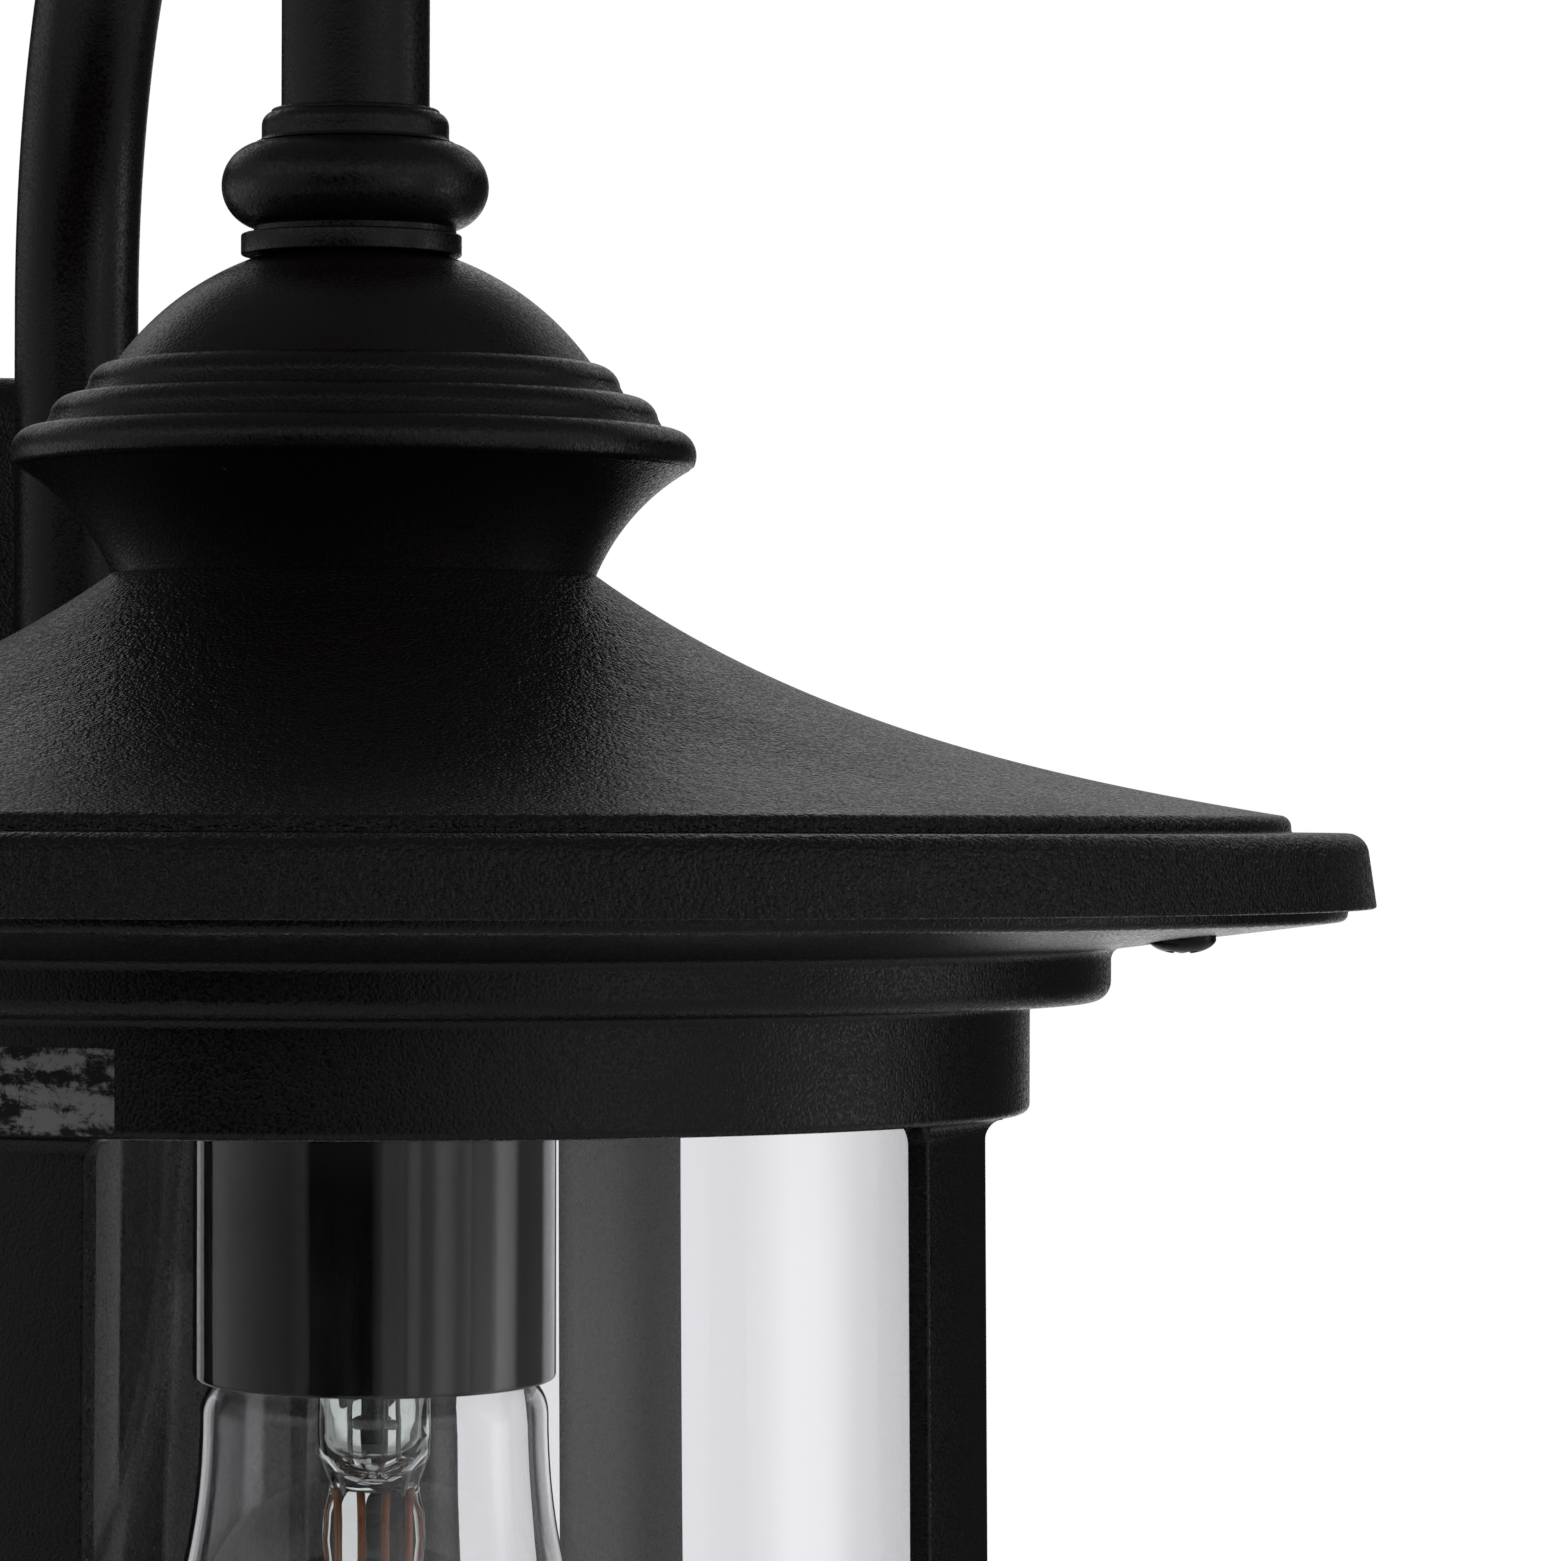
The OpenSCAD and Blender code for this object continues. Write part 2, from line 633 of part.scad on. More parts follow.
// A bar with its end fillets, in its own place at azimuth 0
module bar() {
    face = ring_r - bar_inset;
    lean = tan(bar_lean);
    over = 2;
    low_face = face + window_h * lean;
    edge = 0.4;
    translate([0, -face, ring_z]) multmatrix([[1, 0, 0, 0], [0, 1, lean, 0], [0, 0, 1, 0]])
        translate([0, 0, -window_h - over]) linear_extrude(window_h + 2 * over)
            polygon([[-bar_w / 2 + edge, 0], [bar_w / 2 - edge, 0], [bar_w / 2, edge],
                [bar_w / 2, bar_t], [-bar_w / 2, bar_t], [-bar_w / 2, edge]]);
    for (s = [-1, 1]) {
        translate([s * bar_w / 2, bar_t - face, ring_z]) scale([s, 1, -1])
            rotate([90, 0, 0]) linear_extrude(bar_t) corner_fillet(bar_fillet);
        translate([s * bar_w / 2, bar_t - low_face, base_top_z]) scale([s, 1, 1])
            rotate([90, 0, 0]) linear_extrude(bar_t) corner_fillet(bar_fillet);
    }
}

module cage() {
    wall_in_r = ring_step_r - cage_wall;
    rim_in_r = flange_r - cage_wall;
    color([0.07, 0.07, 0.075])
    at_axis() difference() {
        union() {
            lathe(concat(
                [[flange_r, ledge_in_z], [flange_r, flange_z + 1.1], [flange_r - 0.8, flange_z],
                    [ring_step_r + 3, flange_low(ring_step_r + 3)]],
                arc([ring_step_r + 1.4, flange_low(ring_step_r + 1.4) - 1.4], 1.4, 85, 180, 5),
                arc([ring_step_r - 2.2, step_ring_z + 2.2], 2.2, 0, -90, 6),
                arc([ring_r + 1.2, step_ring_z - 1.2], 1.2, 90, 180, 5),
                arc([ring_r - 1, ring_z + 1], 1, 0, -90, 5),
                [[ring_in_r, ring_z], [ring_in_r, shelf_z], [wall_in_r, shelf_z],
                    [wall_in_r, flange_top(wall_in_r)], [rim_in_r, flange_top(rim_in_r)],
                    [rim_in_r, ledge_in_z]]));
            for (i = [0:3]) rotate([0, 0, cage_turn + 45 + 90 * i]) bar();
            lathe(concat(
                [[ring_in_r, base_top_z]],
                arc([ring_r - 1, base_top_z - 1], 1, 90, 0, 5),
                arc([ring_r - 1.6, base_z + 1.6], 1.6, 0, -90, 5),
                [[lip_r + 0.6, base_z], [lip_r, base_z + 0.6], [lip_r, base_z + lip_t],
                    [ring_in_r, base_z + lip_t]]));
        }
        screw_places() translate([0, 0, cone_z - 2]) {
            cylinder(r = screw_d / 2 + 2 * play, h = 12);
            cylinder(r = screw_head_d / 2 + 2 * play, h = head_seat_z - cone_z + 2);
        }
        clip_places() translate([0, 0, shelf_z - 2.2])
            cylinder(r = clip_screw_r + thread_play, h = 4);
    }
}

head_seat_z = flange_low(screw_ring_r + screw_head_d / 2);

// Dome-headed machine screws, driven up through the flange into the roof's bosses
module cage_screws() {
    head_z = head_seat_z;
    color([0.08, 0.08, 0.085])
    at_axis() screw_places() {
        translate([0, 0, head_z]) cylinder(r = screw_d / 2, h = flange_top(screw_ring_r) - head_z
            + screw_bite - 1);
        difference() {
            lathe(concat([[0, head_z]], [[screw_head_d / 2, head_z], [screw_head_d / 2, head_z - 0.5]],
                curve([screw_head_d / 2, head_z - 0.5], [screw_head_d / 2 - 0.4, head_z - 1.5],
                    [screw_head_d / 4, head_z - 1.9], [0, head_z - 1.9], 8)));
            for (a = [0, 90]) rotate([0, 0, a])
                translate([-1.8, -0.4, head_z - 2.5]) cube([3.6, 0.8, 1.7]);
        }
    }
}

module clip_places()
    for (i = [0:clip_n - 1]) rotate([0, 0, cage_turn + 360 * i / clip_n]) translate([0, -clip_r, 0])
        children();

module glass_cylinder()
    color([0.85, 0.9, 0.9, 0.3])
    at_axis() ring(glass_r, glass_in_r, glass_z, glass_top_z);

module glass_seal_base()
    color([0.85, 0.85, 0.82])
    at_axis() ring(ring_in_r - play, lip_r + 0.3, glass_z - seal_t, glass_z);

// Silicone channel over the top edge of the glass
module glass_seal_top()
    color([0.85, 0.85, 0.82])
    at_axis() lathe([[glass_in_r - seal_t, glass_top_z - 4], [glass_in_r - play, glass_top_z - 4],
        [glass_in_r - play, glass_top_z], [glass_r + play, glass_top_z],
        [glass_r + play, glass_top_z - 4], [ring_in_r - play, glass_top_z - 4],
        [ring_in_r - play, shelf_z], [glass_in_r - seal_t, shelf_z]]);

// Spring tabs on the step ring's floor that hold the glass and its seal down
module glass_clips()
    color([0.75, 0.75, 0.74])
    at_axis() clip_places() difference() {
        translate([-5, -clip_out, shelf_z])
            cube([10, clip_out + clip_r - glass_in_r - clip_bite, clip_t]);
        translate([0, 0, shelf_z - 1]) cylinder(r = clip_screw_r + play, h = clip_t + 2);
    }

module clip_screws()
    color([0.75, 0.75, 0.74])
    at_axis() clip_places() {
        translate([0, 0, shelf_z - 2]) cylinder(r = clip_screw_r, h = 2 + clip_t);
        difference() {
            translate([0, 0, shelf_z + clip_t]) cylinder(r = 2.8, h = 2);
            translate([-3, -0.35, shelf_z + clip_t + 1.2]) cube([6, 0.7, 1]);
        }
    }

// Lampholder

// Steel strip folded to a C: it is clamped under the roof and carries the lampholder

module holder_bracket() {
    foot_z = bracket_z;
    top_z = roof_in_z - bracket_t;
    color([0.72, 0.73, 0.74])
    at_axis() difference() {
        union() {
            translate([-bracket_w / 2, -bracket_w / 2, top_z])
                cube([bracket_w, bracket_w / 2 + bracket_back, bracket_t]);
            translate([-bracket_w / 2, bracket_back - bracket_t, foot_z])
                cube([bracket_w, bracket_t, bracket_h]);
            translate([holder_shift - holder_screw_x - 4, -bracket_w / 2, foot_z])
                cube([2 * holder_screw_x + 8, bracket_w / 2 + bracket_back, bracket_t]);
        }
        translate([0, 0, top_z - 1]) cylinder(r = stem_r + play, h = bracket_t + 2);
        translate([holder_shift, 0, foot_z - 1]) cylinder(r = stem_bore / 2, h = bracket_t + 2);
        for (s = [-1, 1]) translate([holder_shift + s * holder_screw_x, 0, foot_z - 1])
            cylinder(r = holder_screw_r + play, h = bracket_t + 2);
    }
}

module holder_screws()
    color([0.75, 0.75, 0.74])
    at_holder() for (s = [-1, 1]) translate([s * holder_screw_x, 0, 0]) {
        translate([0, 0, holder_top_z - 3]) cylinder(r = holder_screw_r, h = 3 + bracket_t);
        difference() {
            translate([0, 0, holder_top_z + bracket_t]) cylinder(r = 2.8, h = 2);
            translate([-3, -0.35, holder_top_z + bracket_t + 1.2]) cube([6, 0.7, 1]);
        }
    }

module holder_cap()
    color([0.05, 0.05, 0.055])
    at_holder() difference() {
        lathe(concat(
            [[stem_bore / 2, holder_top_z], [shroud_r - 3, holder_top_z]],
            arc([shroud_r - 3, holder_top_z - 3], 3, 75, 0, 6),
            [[shroud_r, cap_seam_z], [shroud_r - 3, cap_seam_z], [shroud_r - 3, holder_top_z - 4],
                [stem_bore / 2, holder_top_z - 4]]));
        for (s = [-1, 1]) translate([s * holder_screw_x, 0, holder_top_z - 3.2])
            cylinder(r = holder_screw_r + thread_play, h = 4);
    }

module holder_shroud()
    color([0.04, 0.04, 0.04])
    at_holder() lathe(concat(
        [[shroud_r - shroud_wall, mouth_z + 0.5], [shroud_r - shroud_wall + 0.5, mouth_z]],
        arc([shroud_r - 0.7, mouth_z + 0.5], 0.5, -90, 0, 4),
        [[shroud_r, cap_seam_z - 0.3], [shroud_r - 0.3, cap_seam_z],
            [shroud_r - shroud_wall, cap_seam_z]]));

// Insulating body: a cup around the screw shell with a wire way in its floor

module holder_core()
    color([0.93, 0.92, 0.88])
    at_holder() lathe([[core_bore, mouth_z + 3], [core_r, mouth_z + 3], [core_r, core_floor_z + 9],
        [stem_bore / 2, core_floor_z + 9], [stem_bore / 2, core_floor_z + 1.5],
        [contact_r + play, core_floor_z + 1.5], [contact_r + play, core_floor_z],
        [core_bore, core_floor_z]]);

module screw_shell()
    color([0.78, 0.65, 0.35])
    at_holder() lathe([[shell_r, mouth_z + 3.5], [shell_r + shell_t, mouth_z + 3.5],
        [shell_r + shell_t, core_floor_z - play], [shell_r - 4, core_floor_z - play],
        [shell_r - 4, core_floor_z - play - shell_t], [shell_r, core_floor_z - play - shell_t]]);

module centre_contact()
    color([0.78, 0.65, 0.35])
    at_holder() {
        translate([0, 0, contact_z]) cylinder(r = contact_r, h = contact_t);
        ring(contact_r, stem_bore / 2 + 0.3, contact_z + contact_t, core_floor_z + 1.5);
    }

// Bulb

envelope_out = concat(
    curve([bulb_cap_r + 0.6, 0], [bulb_neck_r - 1.6, -0.8], [bulb_neck_r, -2.8],
        [bulb_neck_r, -7], 6),
    curve([bulb_neck_r, -7], [bulb_neck_r - 0.3, -0.4 * bulb_glass_l], [bulb_r - 1, -0.44 * bulb_glass_l],
        [bulb_r, -(bulb_glass_l - bulb_r)], 14),
    arc([0, -(bulb_glass_l - bulb_r)], bulb_r, 0, -90, 12));

module bulb_glass()
    color([0.9, 0.93, 0.93, 0.3])
    at_holder() lathe(lifted(concat(
        [[bulb_cap_r - 1.1, 4], [bulb_cap_r - 0.5, 4], [bulb_cap_r - 0.5, 0]],
        envelope_out,
        [[0, -bulb_glass_l + bulb_wall]],
        arc([0, -(bulb_glass_l - bulb_r)], bulb_r - bulb_wall, -84, 0, 11),
        turned([for (p = envelope_out) if (p[1] > -(bulb_glass_l - bulb_r) + 2 && p[1] < -3)
            p - [bulb_wall, 0]]),
        [[bulb_cap_r - 1.1, 0]]), bulb_rim_z));

// Glass stem: a flare in the neck, a tube, and the squeezed end that holds the wires
module bulb_stem()
    color([0.85, 0.9, 0.88, 0.4])
    at_holder() lathe(lifted([[bulb_cap_r - 1.2, 4], [bulb_cap_r - 1.2, 3], [stem_tube_r + 1.5, 1.6],
        [stem_tube_r, 0], [stem_tube_r, -11.5], [stem_tube_r - 1.2, -15], [3.4, -20],
        [3, stem_end + 2], [2.4, stem_end + 0.4], [1.4, stem_end], [0, stem_end], [0, -14],
        [stem_tube_r - 1.8, -11], [stem_tube_r - 1, -8], [stem_tube_r - 1, 0],
        [stem_tube_r + 0.5, 2.2], [bulb_cap_r - 2.2, 4]], bulb_rim_z));

// A rod between two points
module rod(p, q, r) {
    d = q - p;
    translate(p) rotate([0, acos(d[2] / norm(d)), atan2(d[1], d[0])]) cylinder(r = r, h = norm(d));
}

module bulb_filaments()
    color([0.95, 0.75, 0.3])
    at_holder() translate([0, 0, bulb_rim_z]) {
        for (i = [0:filament_n - 1]) rotate([0, 0, 360 * i / filament_n + 20]) {
            rod([filament_top[0], 0, filament_top[1]], [filament_low[0], 0, filament_low[1]],
                filament_r);
            rod([3.2, 0, filament_top[1] + 2], [filament_top[0], 0, filament_top[1] - 0.5], 0.3);
        }
        translate([0, 0, filament_low[1]]) rotate_extrude()
            translate([filament_low[0], 0]) circle(r = 0.4);
    }

module bulb_cap()
    color([0.75, 0.76, 0.76])
    at_holder() lathe(lifted([[bulb_cap_r - 0.4, 0], [bulb_cap_r, 0], [bulb_cap_r, bulb_cap_h - 1.5],
        [bulb_cap_r - 1.7, bulb_cap_h], [insulator_r, bulb_cap_h], [insulator_r, bulb_cap_h - 0.6],
        [bulb_cap_r - 1.9, bulb_cap_h - 0.6], [bulb_cap_r - 0.4, bulb_cap_h - 1.9]], bulb_rim_z));

module bulb_insulator()
    color([0.06, 0.05, 0.07])
    at_holder() lathe(lifted([[0, -1.6], [insulator_r, -1.6], [insulator_r, 0],
        [insulator_r - 1.6, 1.2], [tip_r + 0.8, bulb_insulator_h], [0, bulb_insulator_h]],
        bulb_cap_top_z));

module bulb_tip()
    color([0.75, 0.76, 0.74])
    at_holder() lathe(lifted([[0, 0], [tip_r, 0], [tip_r, 0.6], [tip_r - 1, bulb_tip_h - 0.3],
        [2, bulb_tip_h], [0, bulb_tip_h]], bulb_top_z - bulb_tip_h));

// Lead: from the terminal block through the nipple, the arm and the stem into the lampholder

function drift(t) = t * t * (3 - 2 * t);
lead_yz = concat(
    [[wire_y, lead_start_z]],
    arc([wire_y - lead_bend, -lead_bend], lead_bend, 0, 90, 6),
    arc([leg_y + foot_bend, foot_bend], foot_bend, 270, 180, 10),
    arc(bow_c1, bow_bend, 0, bow_a, 8),
    arc(bow_c2, bow_bend, bow_a, 180, 20));
lead_path = concat(
    [for (p = lead_yz) [0, p[0], p[1]]],
    [for (i = [0:6]) [holder_shift * drift(i / 6), axis_y,
        stem_nut_z + 2 - (stem_nut_z + 2 - bracket_z - bracket_t - 2) * i / 6]],
    [[holder_shift, axis_y, holder_top_z - 6]]);

// A round rod of eight sides along a list of points
module sweep(path, r) {
    n = len(path);
    rings = [for (i = [0:n - 1])
        let (d = path[min(i + 1, n - 1)] - path[max(i - 1, 0)], t = d / norm(d),
            v = cross(t, [1, 0, 0]), w = v / norm(v), u = cross(w, t))
        for (k = [0:7]) path[i] + r * (cos(45 * k) * u + sin(45 * k) * w)];
    polyhedron(rings, concat(
        [[for (k = [0:7]) k]],
        [for (i = [0:n - 2], k = [0:7])
            [8 * i + k, 8 * i + 8 + k, 8 * i + 8 + (k + 1) % 8, 8 * i + (k + 1) % 8]],
        [[for (k = [7:-1:0]) 8 * (n - 1) + k]]));
}

module supply_lead()
    color([0.85, 0.84, 0.8]) {
        sweep(lead_path, lead_r);
        for (i = [-1:1]) {
            elbow = [i * pole_pitch, wire_y, block_z + block_h + 1.5];
            rod([0, wire_y, lead_start_z + 2], elbow, core_wire_r);
            translate(elbow) sphere(r = core_wire_r);
            rod(elbow, [elbow[0], wire_y, block_z + 4], core_wire_r);
        }
    }

wall_plate();
mounting_strap();
plate_studs();
cap_nuts();
earth_screw();
terminal_block();
terminal_screws();
arm_tube();
tube_inserts();
arm_ferrule();
foot_nipple();
foot_lock_washer();
foot_nut();
knuckle();
stem_washer();
bell_cap();
neck_cup();
roof();
stem_rod();
stem_lock_washer();
stem_nut();
cage();
cage_screws();
glass_cylinder();
glass_seal_base();
glass_seal_top();
glass_clips();
clip_screws();
holder_bracket();
holder_screws();
holder_cap();
holder_shroud();
holder_core();
screw_shell();
centre_contact();
bulb_glass();
bulb_stem();
bulb_filaments();
bulb_cap();
bulb_insulator();
bulb_tip();
supply_lead();
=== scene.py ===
from math import acos, asin, atan2, cos, degrees, pi, radians, sin, sqrt

import bmesh
import bpy
import numpy as np
from mathutils import Matrix


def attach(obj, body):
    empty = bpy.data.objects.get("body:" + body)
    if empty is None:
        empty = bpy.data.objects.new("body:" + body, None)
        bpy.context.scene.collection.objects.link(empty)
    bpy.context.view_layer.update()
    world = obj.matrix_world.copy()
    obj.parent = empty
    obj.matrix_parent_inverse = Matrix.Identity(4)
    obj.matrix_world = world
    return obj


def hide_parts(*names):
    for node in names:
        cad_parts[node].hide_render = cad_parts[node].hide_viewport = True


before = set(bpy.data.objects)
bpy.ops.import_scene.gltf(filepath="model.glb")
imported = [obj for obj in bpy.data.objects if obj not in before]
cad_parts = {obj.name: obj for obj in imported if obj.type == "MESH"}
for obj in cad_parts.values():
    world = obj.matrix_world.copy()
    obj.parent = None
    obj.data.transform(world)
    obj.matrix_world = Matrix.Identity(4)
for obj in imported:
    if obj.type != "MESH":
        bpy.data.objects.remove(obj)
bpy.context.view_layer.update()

# Camera: a long lens, level with the roof's edge and turned a little to the wall's left.
# The lantern's axis lies left of the picture's middle, as in the photograph.
MM = 0.001
LANTERN_Y, EAVE_Z = -216.0, 35.75
VIEW_TURN, VIEW_DISTANCE, VIEW_SIDE, VIEW_ROLL = radians(-17.3), 718.4, 46.02, 0.003
SENSOR_WIDTH, LENS, LENS_SHIFT, SIGHT_M = 36.0, 153.55, 0.0225, 50.0
ahead = np.array([-sin(VIEW_TURN), cos(VIEW_TURN), 0.0])
right = np.array([cos(VIEW_TURN), sin(VIEW_TURN), 0.0])
up = np.array([0.0, 0.0, 1.0])
eye = np.array([0.0, LANTERN_Y, EAVE_Z]) - VIEW_DISTANCE * ahead + VIEW_SIDE * right
rolled_right = right * cos(VIEW_ROLL) + up * sin(VIEW_ROLL)
rolled_up = up * cos(VIEW_ROLL) - right * sin(VIEW_ROLL)
camera_data = bpy.data.cameras.new("camera")
camera = bpy.data.objects.new("camera", camera_data)
bpy.context.scene.collection.objects.link(camera)
turn = Matrix(np.column_stack([rolled_right, rolled_up, -ahead]).tolist()).to_4x4()
camera.matrix_world = Matrix.Translation((eye * MM).tolist()) @ turn
camera_data.sensor_width, camera_data.lens = SENSOR_WIDTH, LENS
camera_data.shift_y, camera_data.clip_end = LENS_SHIFT, SIGHT_M
bpy.context.scene.camera = camera

# Wall plate: a shallow die-cast aluminium box, open towards the wall, with soft front edges.
# It is shot-blasted and powder-coated black.
PLATE_WIDTH, PLATE_HEIGHT, PLATE_DEPTH = 132.0, 190.0, 25.0
PLATE_WALL, PLATE_ROUND, PLATE_RIM = 2.5, 6.0, 0.6
COAT_BLACK, DUST = "#130D0E", "#6E6A64"
SWELL_MM, CLOUD_MM, SPECK_MM = 2.5, 40.0, 5.0
METAL_CLOUD_MM, PLASTIC_CLOUD_MM = 5.0, 12.0
GLOSS_SWING, COAT_SHINE, SPECKS_LEFT_OUT = 0.14, 0.32, 0.93


def linear(colour):
    """Linear RGBA from an sRGB hex value, each channel by the sRGB curve."""
    parts = (int(colour[i : i + 2], 16) / 255 for i in (1, 3, 5))
    return *(p / 12.92 if p <= 0.04045 else ((p + 0.055) / 1.055) ** 2.4 for p in parts), 1.0


def add(tree, kind, values=None, links=None, **settings):
    """Adds a node with its settings, its sockets' values and its links from (node, output)."""
    made = tree.nodes.new("ShaderNode" + kind)
    for name, value in settings.items():
        setattr(made, name, value)
    for name, value in (values or {}).items():
        made.inputs[name].default_value = value
    for name, (source, output) in (links or {}).items():
        tree.links.new(source.outputs[output], made.inputs[name])
    return made


def new_material(name):
    """An empty node material, its tree and the link that places a pattern by Object coordinates."""
    made = bpy.data.materials.new(name)
    made.use_nodes = True
    made.node_tree.nodes.clear()
    return made, made.node_tree, {"Vector": (add(made.node_tree, "TexCoord"), "Object")}


def powder_coat(name, grit_mm, grit_depth_mm, roughness):
    """Powder-coated metal: polyester powder baked to a satin skin. Grit left by the powder breaks
    up the light, a slow orange-peel swell lies under it, and a few pale specks of dust sit on it.
    A noise's scale is 1000 over its size in mm."""
    made, tree, place = new_material(name)
    grit = add(tree, "TexNoise", {"Scale": 1000 / grit_mm, "Detail": 1.0}, place)
    swell = add(tree, "TexNoise", {"Scale": 1000 / SWELL_MM, "Detail": 1.0}, place)
    height = add(tree, "Math", {1: 0.8}, {0: (swell, "Fac"), 2: (grit, "Fac")},
                 operation="MULTIPLY_ADD")
    bump = add(tree, "Bump", {"Distance": grit_depth_mm * MM}, {"Height": (height, 0)})
    cloud = add(tree, "TexNoise", {"Scale": 1000 / CLOUD_MM, "Detail": 3.0}, place)
    uneven = add(tree, "Math", {1: 2.5}, {0: (grit, "Fac"), 2: (cloud, "Fac")},
                 operation="MULTIPLY_ADD")
    gloss = add(tree, "MapRange", {"From Min": 1.4, "From Max": 2.1,
                                   "To Min": roughness - GLOSS_SWING,
                                   "To Max": roughness + GLOSS_SWING}, {"Value": (uneven, 0)})
    specks = add(tree, "TexVoronoi", {"Scale": 1000 / SPECK_MM}, place)
    near = add(tree, "MapRange", {"From Min": 0.025, "From Max": 0.035, "To Min": 1, "To Max": 0},
               {"Value": (specks, "Distance")})
    pick = add(tree, "SeparateColor", links={"Color": (specks, "Color")})
    some = add(tree, "Math", {1: SPECKS_LEFT_OUT}, {0: (pick, "Red")}, operation="GREATER_THAN")
    speck = add(tree, "Math", links={0: (near, "Result"), 1: (some, 0)}, operation="MULTIPLY")
    tint = add(tree, "Mix", {"A": linear(COAT_BLACK), "B": linear(DUST)}, {"Factor": (speck, 0)},
               data_type="RGBA")
    shader = add(tree, "BsdfPrincipled", {"IOR": 1.5, "Specular IOR Level": COAT_SHINE},
                 {"Base Color": (tint, "Result"), "Roughness": (gloss, "Result"),
                  "Normal": (bump, "Normal")})
    add(tree, "OutputMaterial", links={"Surface": (shader, "BSDF")})
    return made


def surface(name, *grids, crease=40.0, open_rows=False):
    """One mesh from grids of points in mm. Each grid wraps round along its columns, and along its
    rows too unless open_rows says that they end at a pole or a line. Points that coincide become
    one, and edges sharper than crease degrees stay sharp."""
    points, faces, first = [], [], 0
    for grid in grids:
        here = np.arange(grid.shape[0] * grid.shape[1]).reshape(grid.shape[:2]) + first
        down = np.roll(here, -1, 0)
        quads = np.stack([here, down, np.roll(down, -1, 1), np.roll(here, -1, 1)], -1)
        faces.append((quads[:-1] if open_rows else quads).reshape(-1, 4))
        points.append(grid.reshape(-1, 3) * MM)
        first += here.size
    mesh = bpy.data.meshes.new(name)
    mesh.from_pydata(np.concatenate(points).tolist(), [], np.concatenate(faces).tolist())
    work = bmesh.new()
    work.from_mesh(mesh)
    bmesh.ops.remove_doubles(work, verts=work.verts, dist=0.0003 * MM)
    bmesh.ops.delete(work, geom=[edge for edge in work.edges if edge.is_wire], context="EDGES")
    bmesh.ops.recalc_face_normals(work, faces=work.faces)
    work.to_mesh(mesh)
    work.free()
    mesh.shade_smooth()
    mesh.set_sharp_from_angle(angle=radians(crease))
    made = bpy.data.objects.new(name, mesh)
    bpy.context.scene.collection.objects.link(made)
    return made


def finish(piece, material, slot, *replaced, body="lantern"):
    """Gives a piece its material and body, and hides the nodes it stands for. slot is not used."""
    piece.data.materials.clear()
    piece.data.materials.append(material)
    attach(piece, body)
    if replaced:
        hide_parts(*replaced)


def all_round(count):
    """Even angles round a circle."""
    return np.linspace(0, 2 * pi, count, endpoint=False)


def arc(centre, radius, start, end, steps=8):
    """Points on a circle from one angle to another, in degrees."""
    angle = np.radians(np.linspace(start, end, steps + 1))
    return np.asarray(centre) + radius * np.stack([np.cos(angle), np.sin(angle)], -1)


def rounded_rectangle(width, height, corner):
    """Outline about the origin: four quarter circles of one radius joined by straights."""
    corner = max(corner, 1e-4)
    sides = np.array([width / 2 - corner, height / 2 - corner])
    quarters = [((1, 1), 0), ((-1, 1), 90), ((-1, -1), 180), ((1, -1), 270)]
    return np.vstack([arc(sides * sign, corner, start, start + 90) for sign, start in quarters])


# Inset and distance from the wall, from the inner floor's middle over the rim to the face's middle
plate_path = np.concatenate([
    [[-PLATE_WIDTH / 2, -PLATE_DEPTH + PLATE_WALL]],
    arc((-PLATE_ROUND, -PLATE_DEPTH + PLATE_ROUND), PLATE_ROUND - PLATE_WALL, 270, 360),
    arc((-PLATE_WALL + PLATE_RIM, -PLATE_RIM), PLATE_RIM, 180, 90, 4),
    arc((-PLATE_RIM, -PLATE_RIM), PLATE_RIM, 90, 0, 4),
    arc((-PLATE_ROUND, -PLATE_DEPTH + PLATE_ROUND), PLATE_ROUND, 360, 270),
    [[-PLATE_WIDTH / 2, -PLATE_DEPTH]],
])
plate_rings = []
for inset, depth in plate_path:
    ring = rounded_rectangle(PLATE_WIDTH + 2 * inset, PLATE_HEIGHT + 2 * inset, PLATE_ROUND + inset)
    plate_rings.append(np.column_stack([ring[:, 0], np.full(len(ring), depth), ring[:, 1]]))
plate = surface("wall_plate_casting", np.array(plate_rings), open_rows=True)
plate_coat = powder_coat("powder_coat_on_cast_plate", 0.42, 0.15, 0.34)
finish(plate, plate_coat, "plate_coat", "wall_plate")

# Strap, studs and earth screw: zinc-plated steel strip with two slots, pressed-in studs and a brass
# screw. The strap is screwed to the wall, and the plate's studs pass through it.


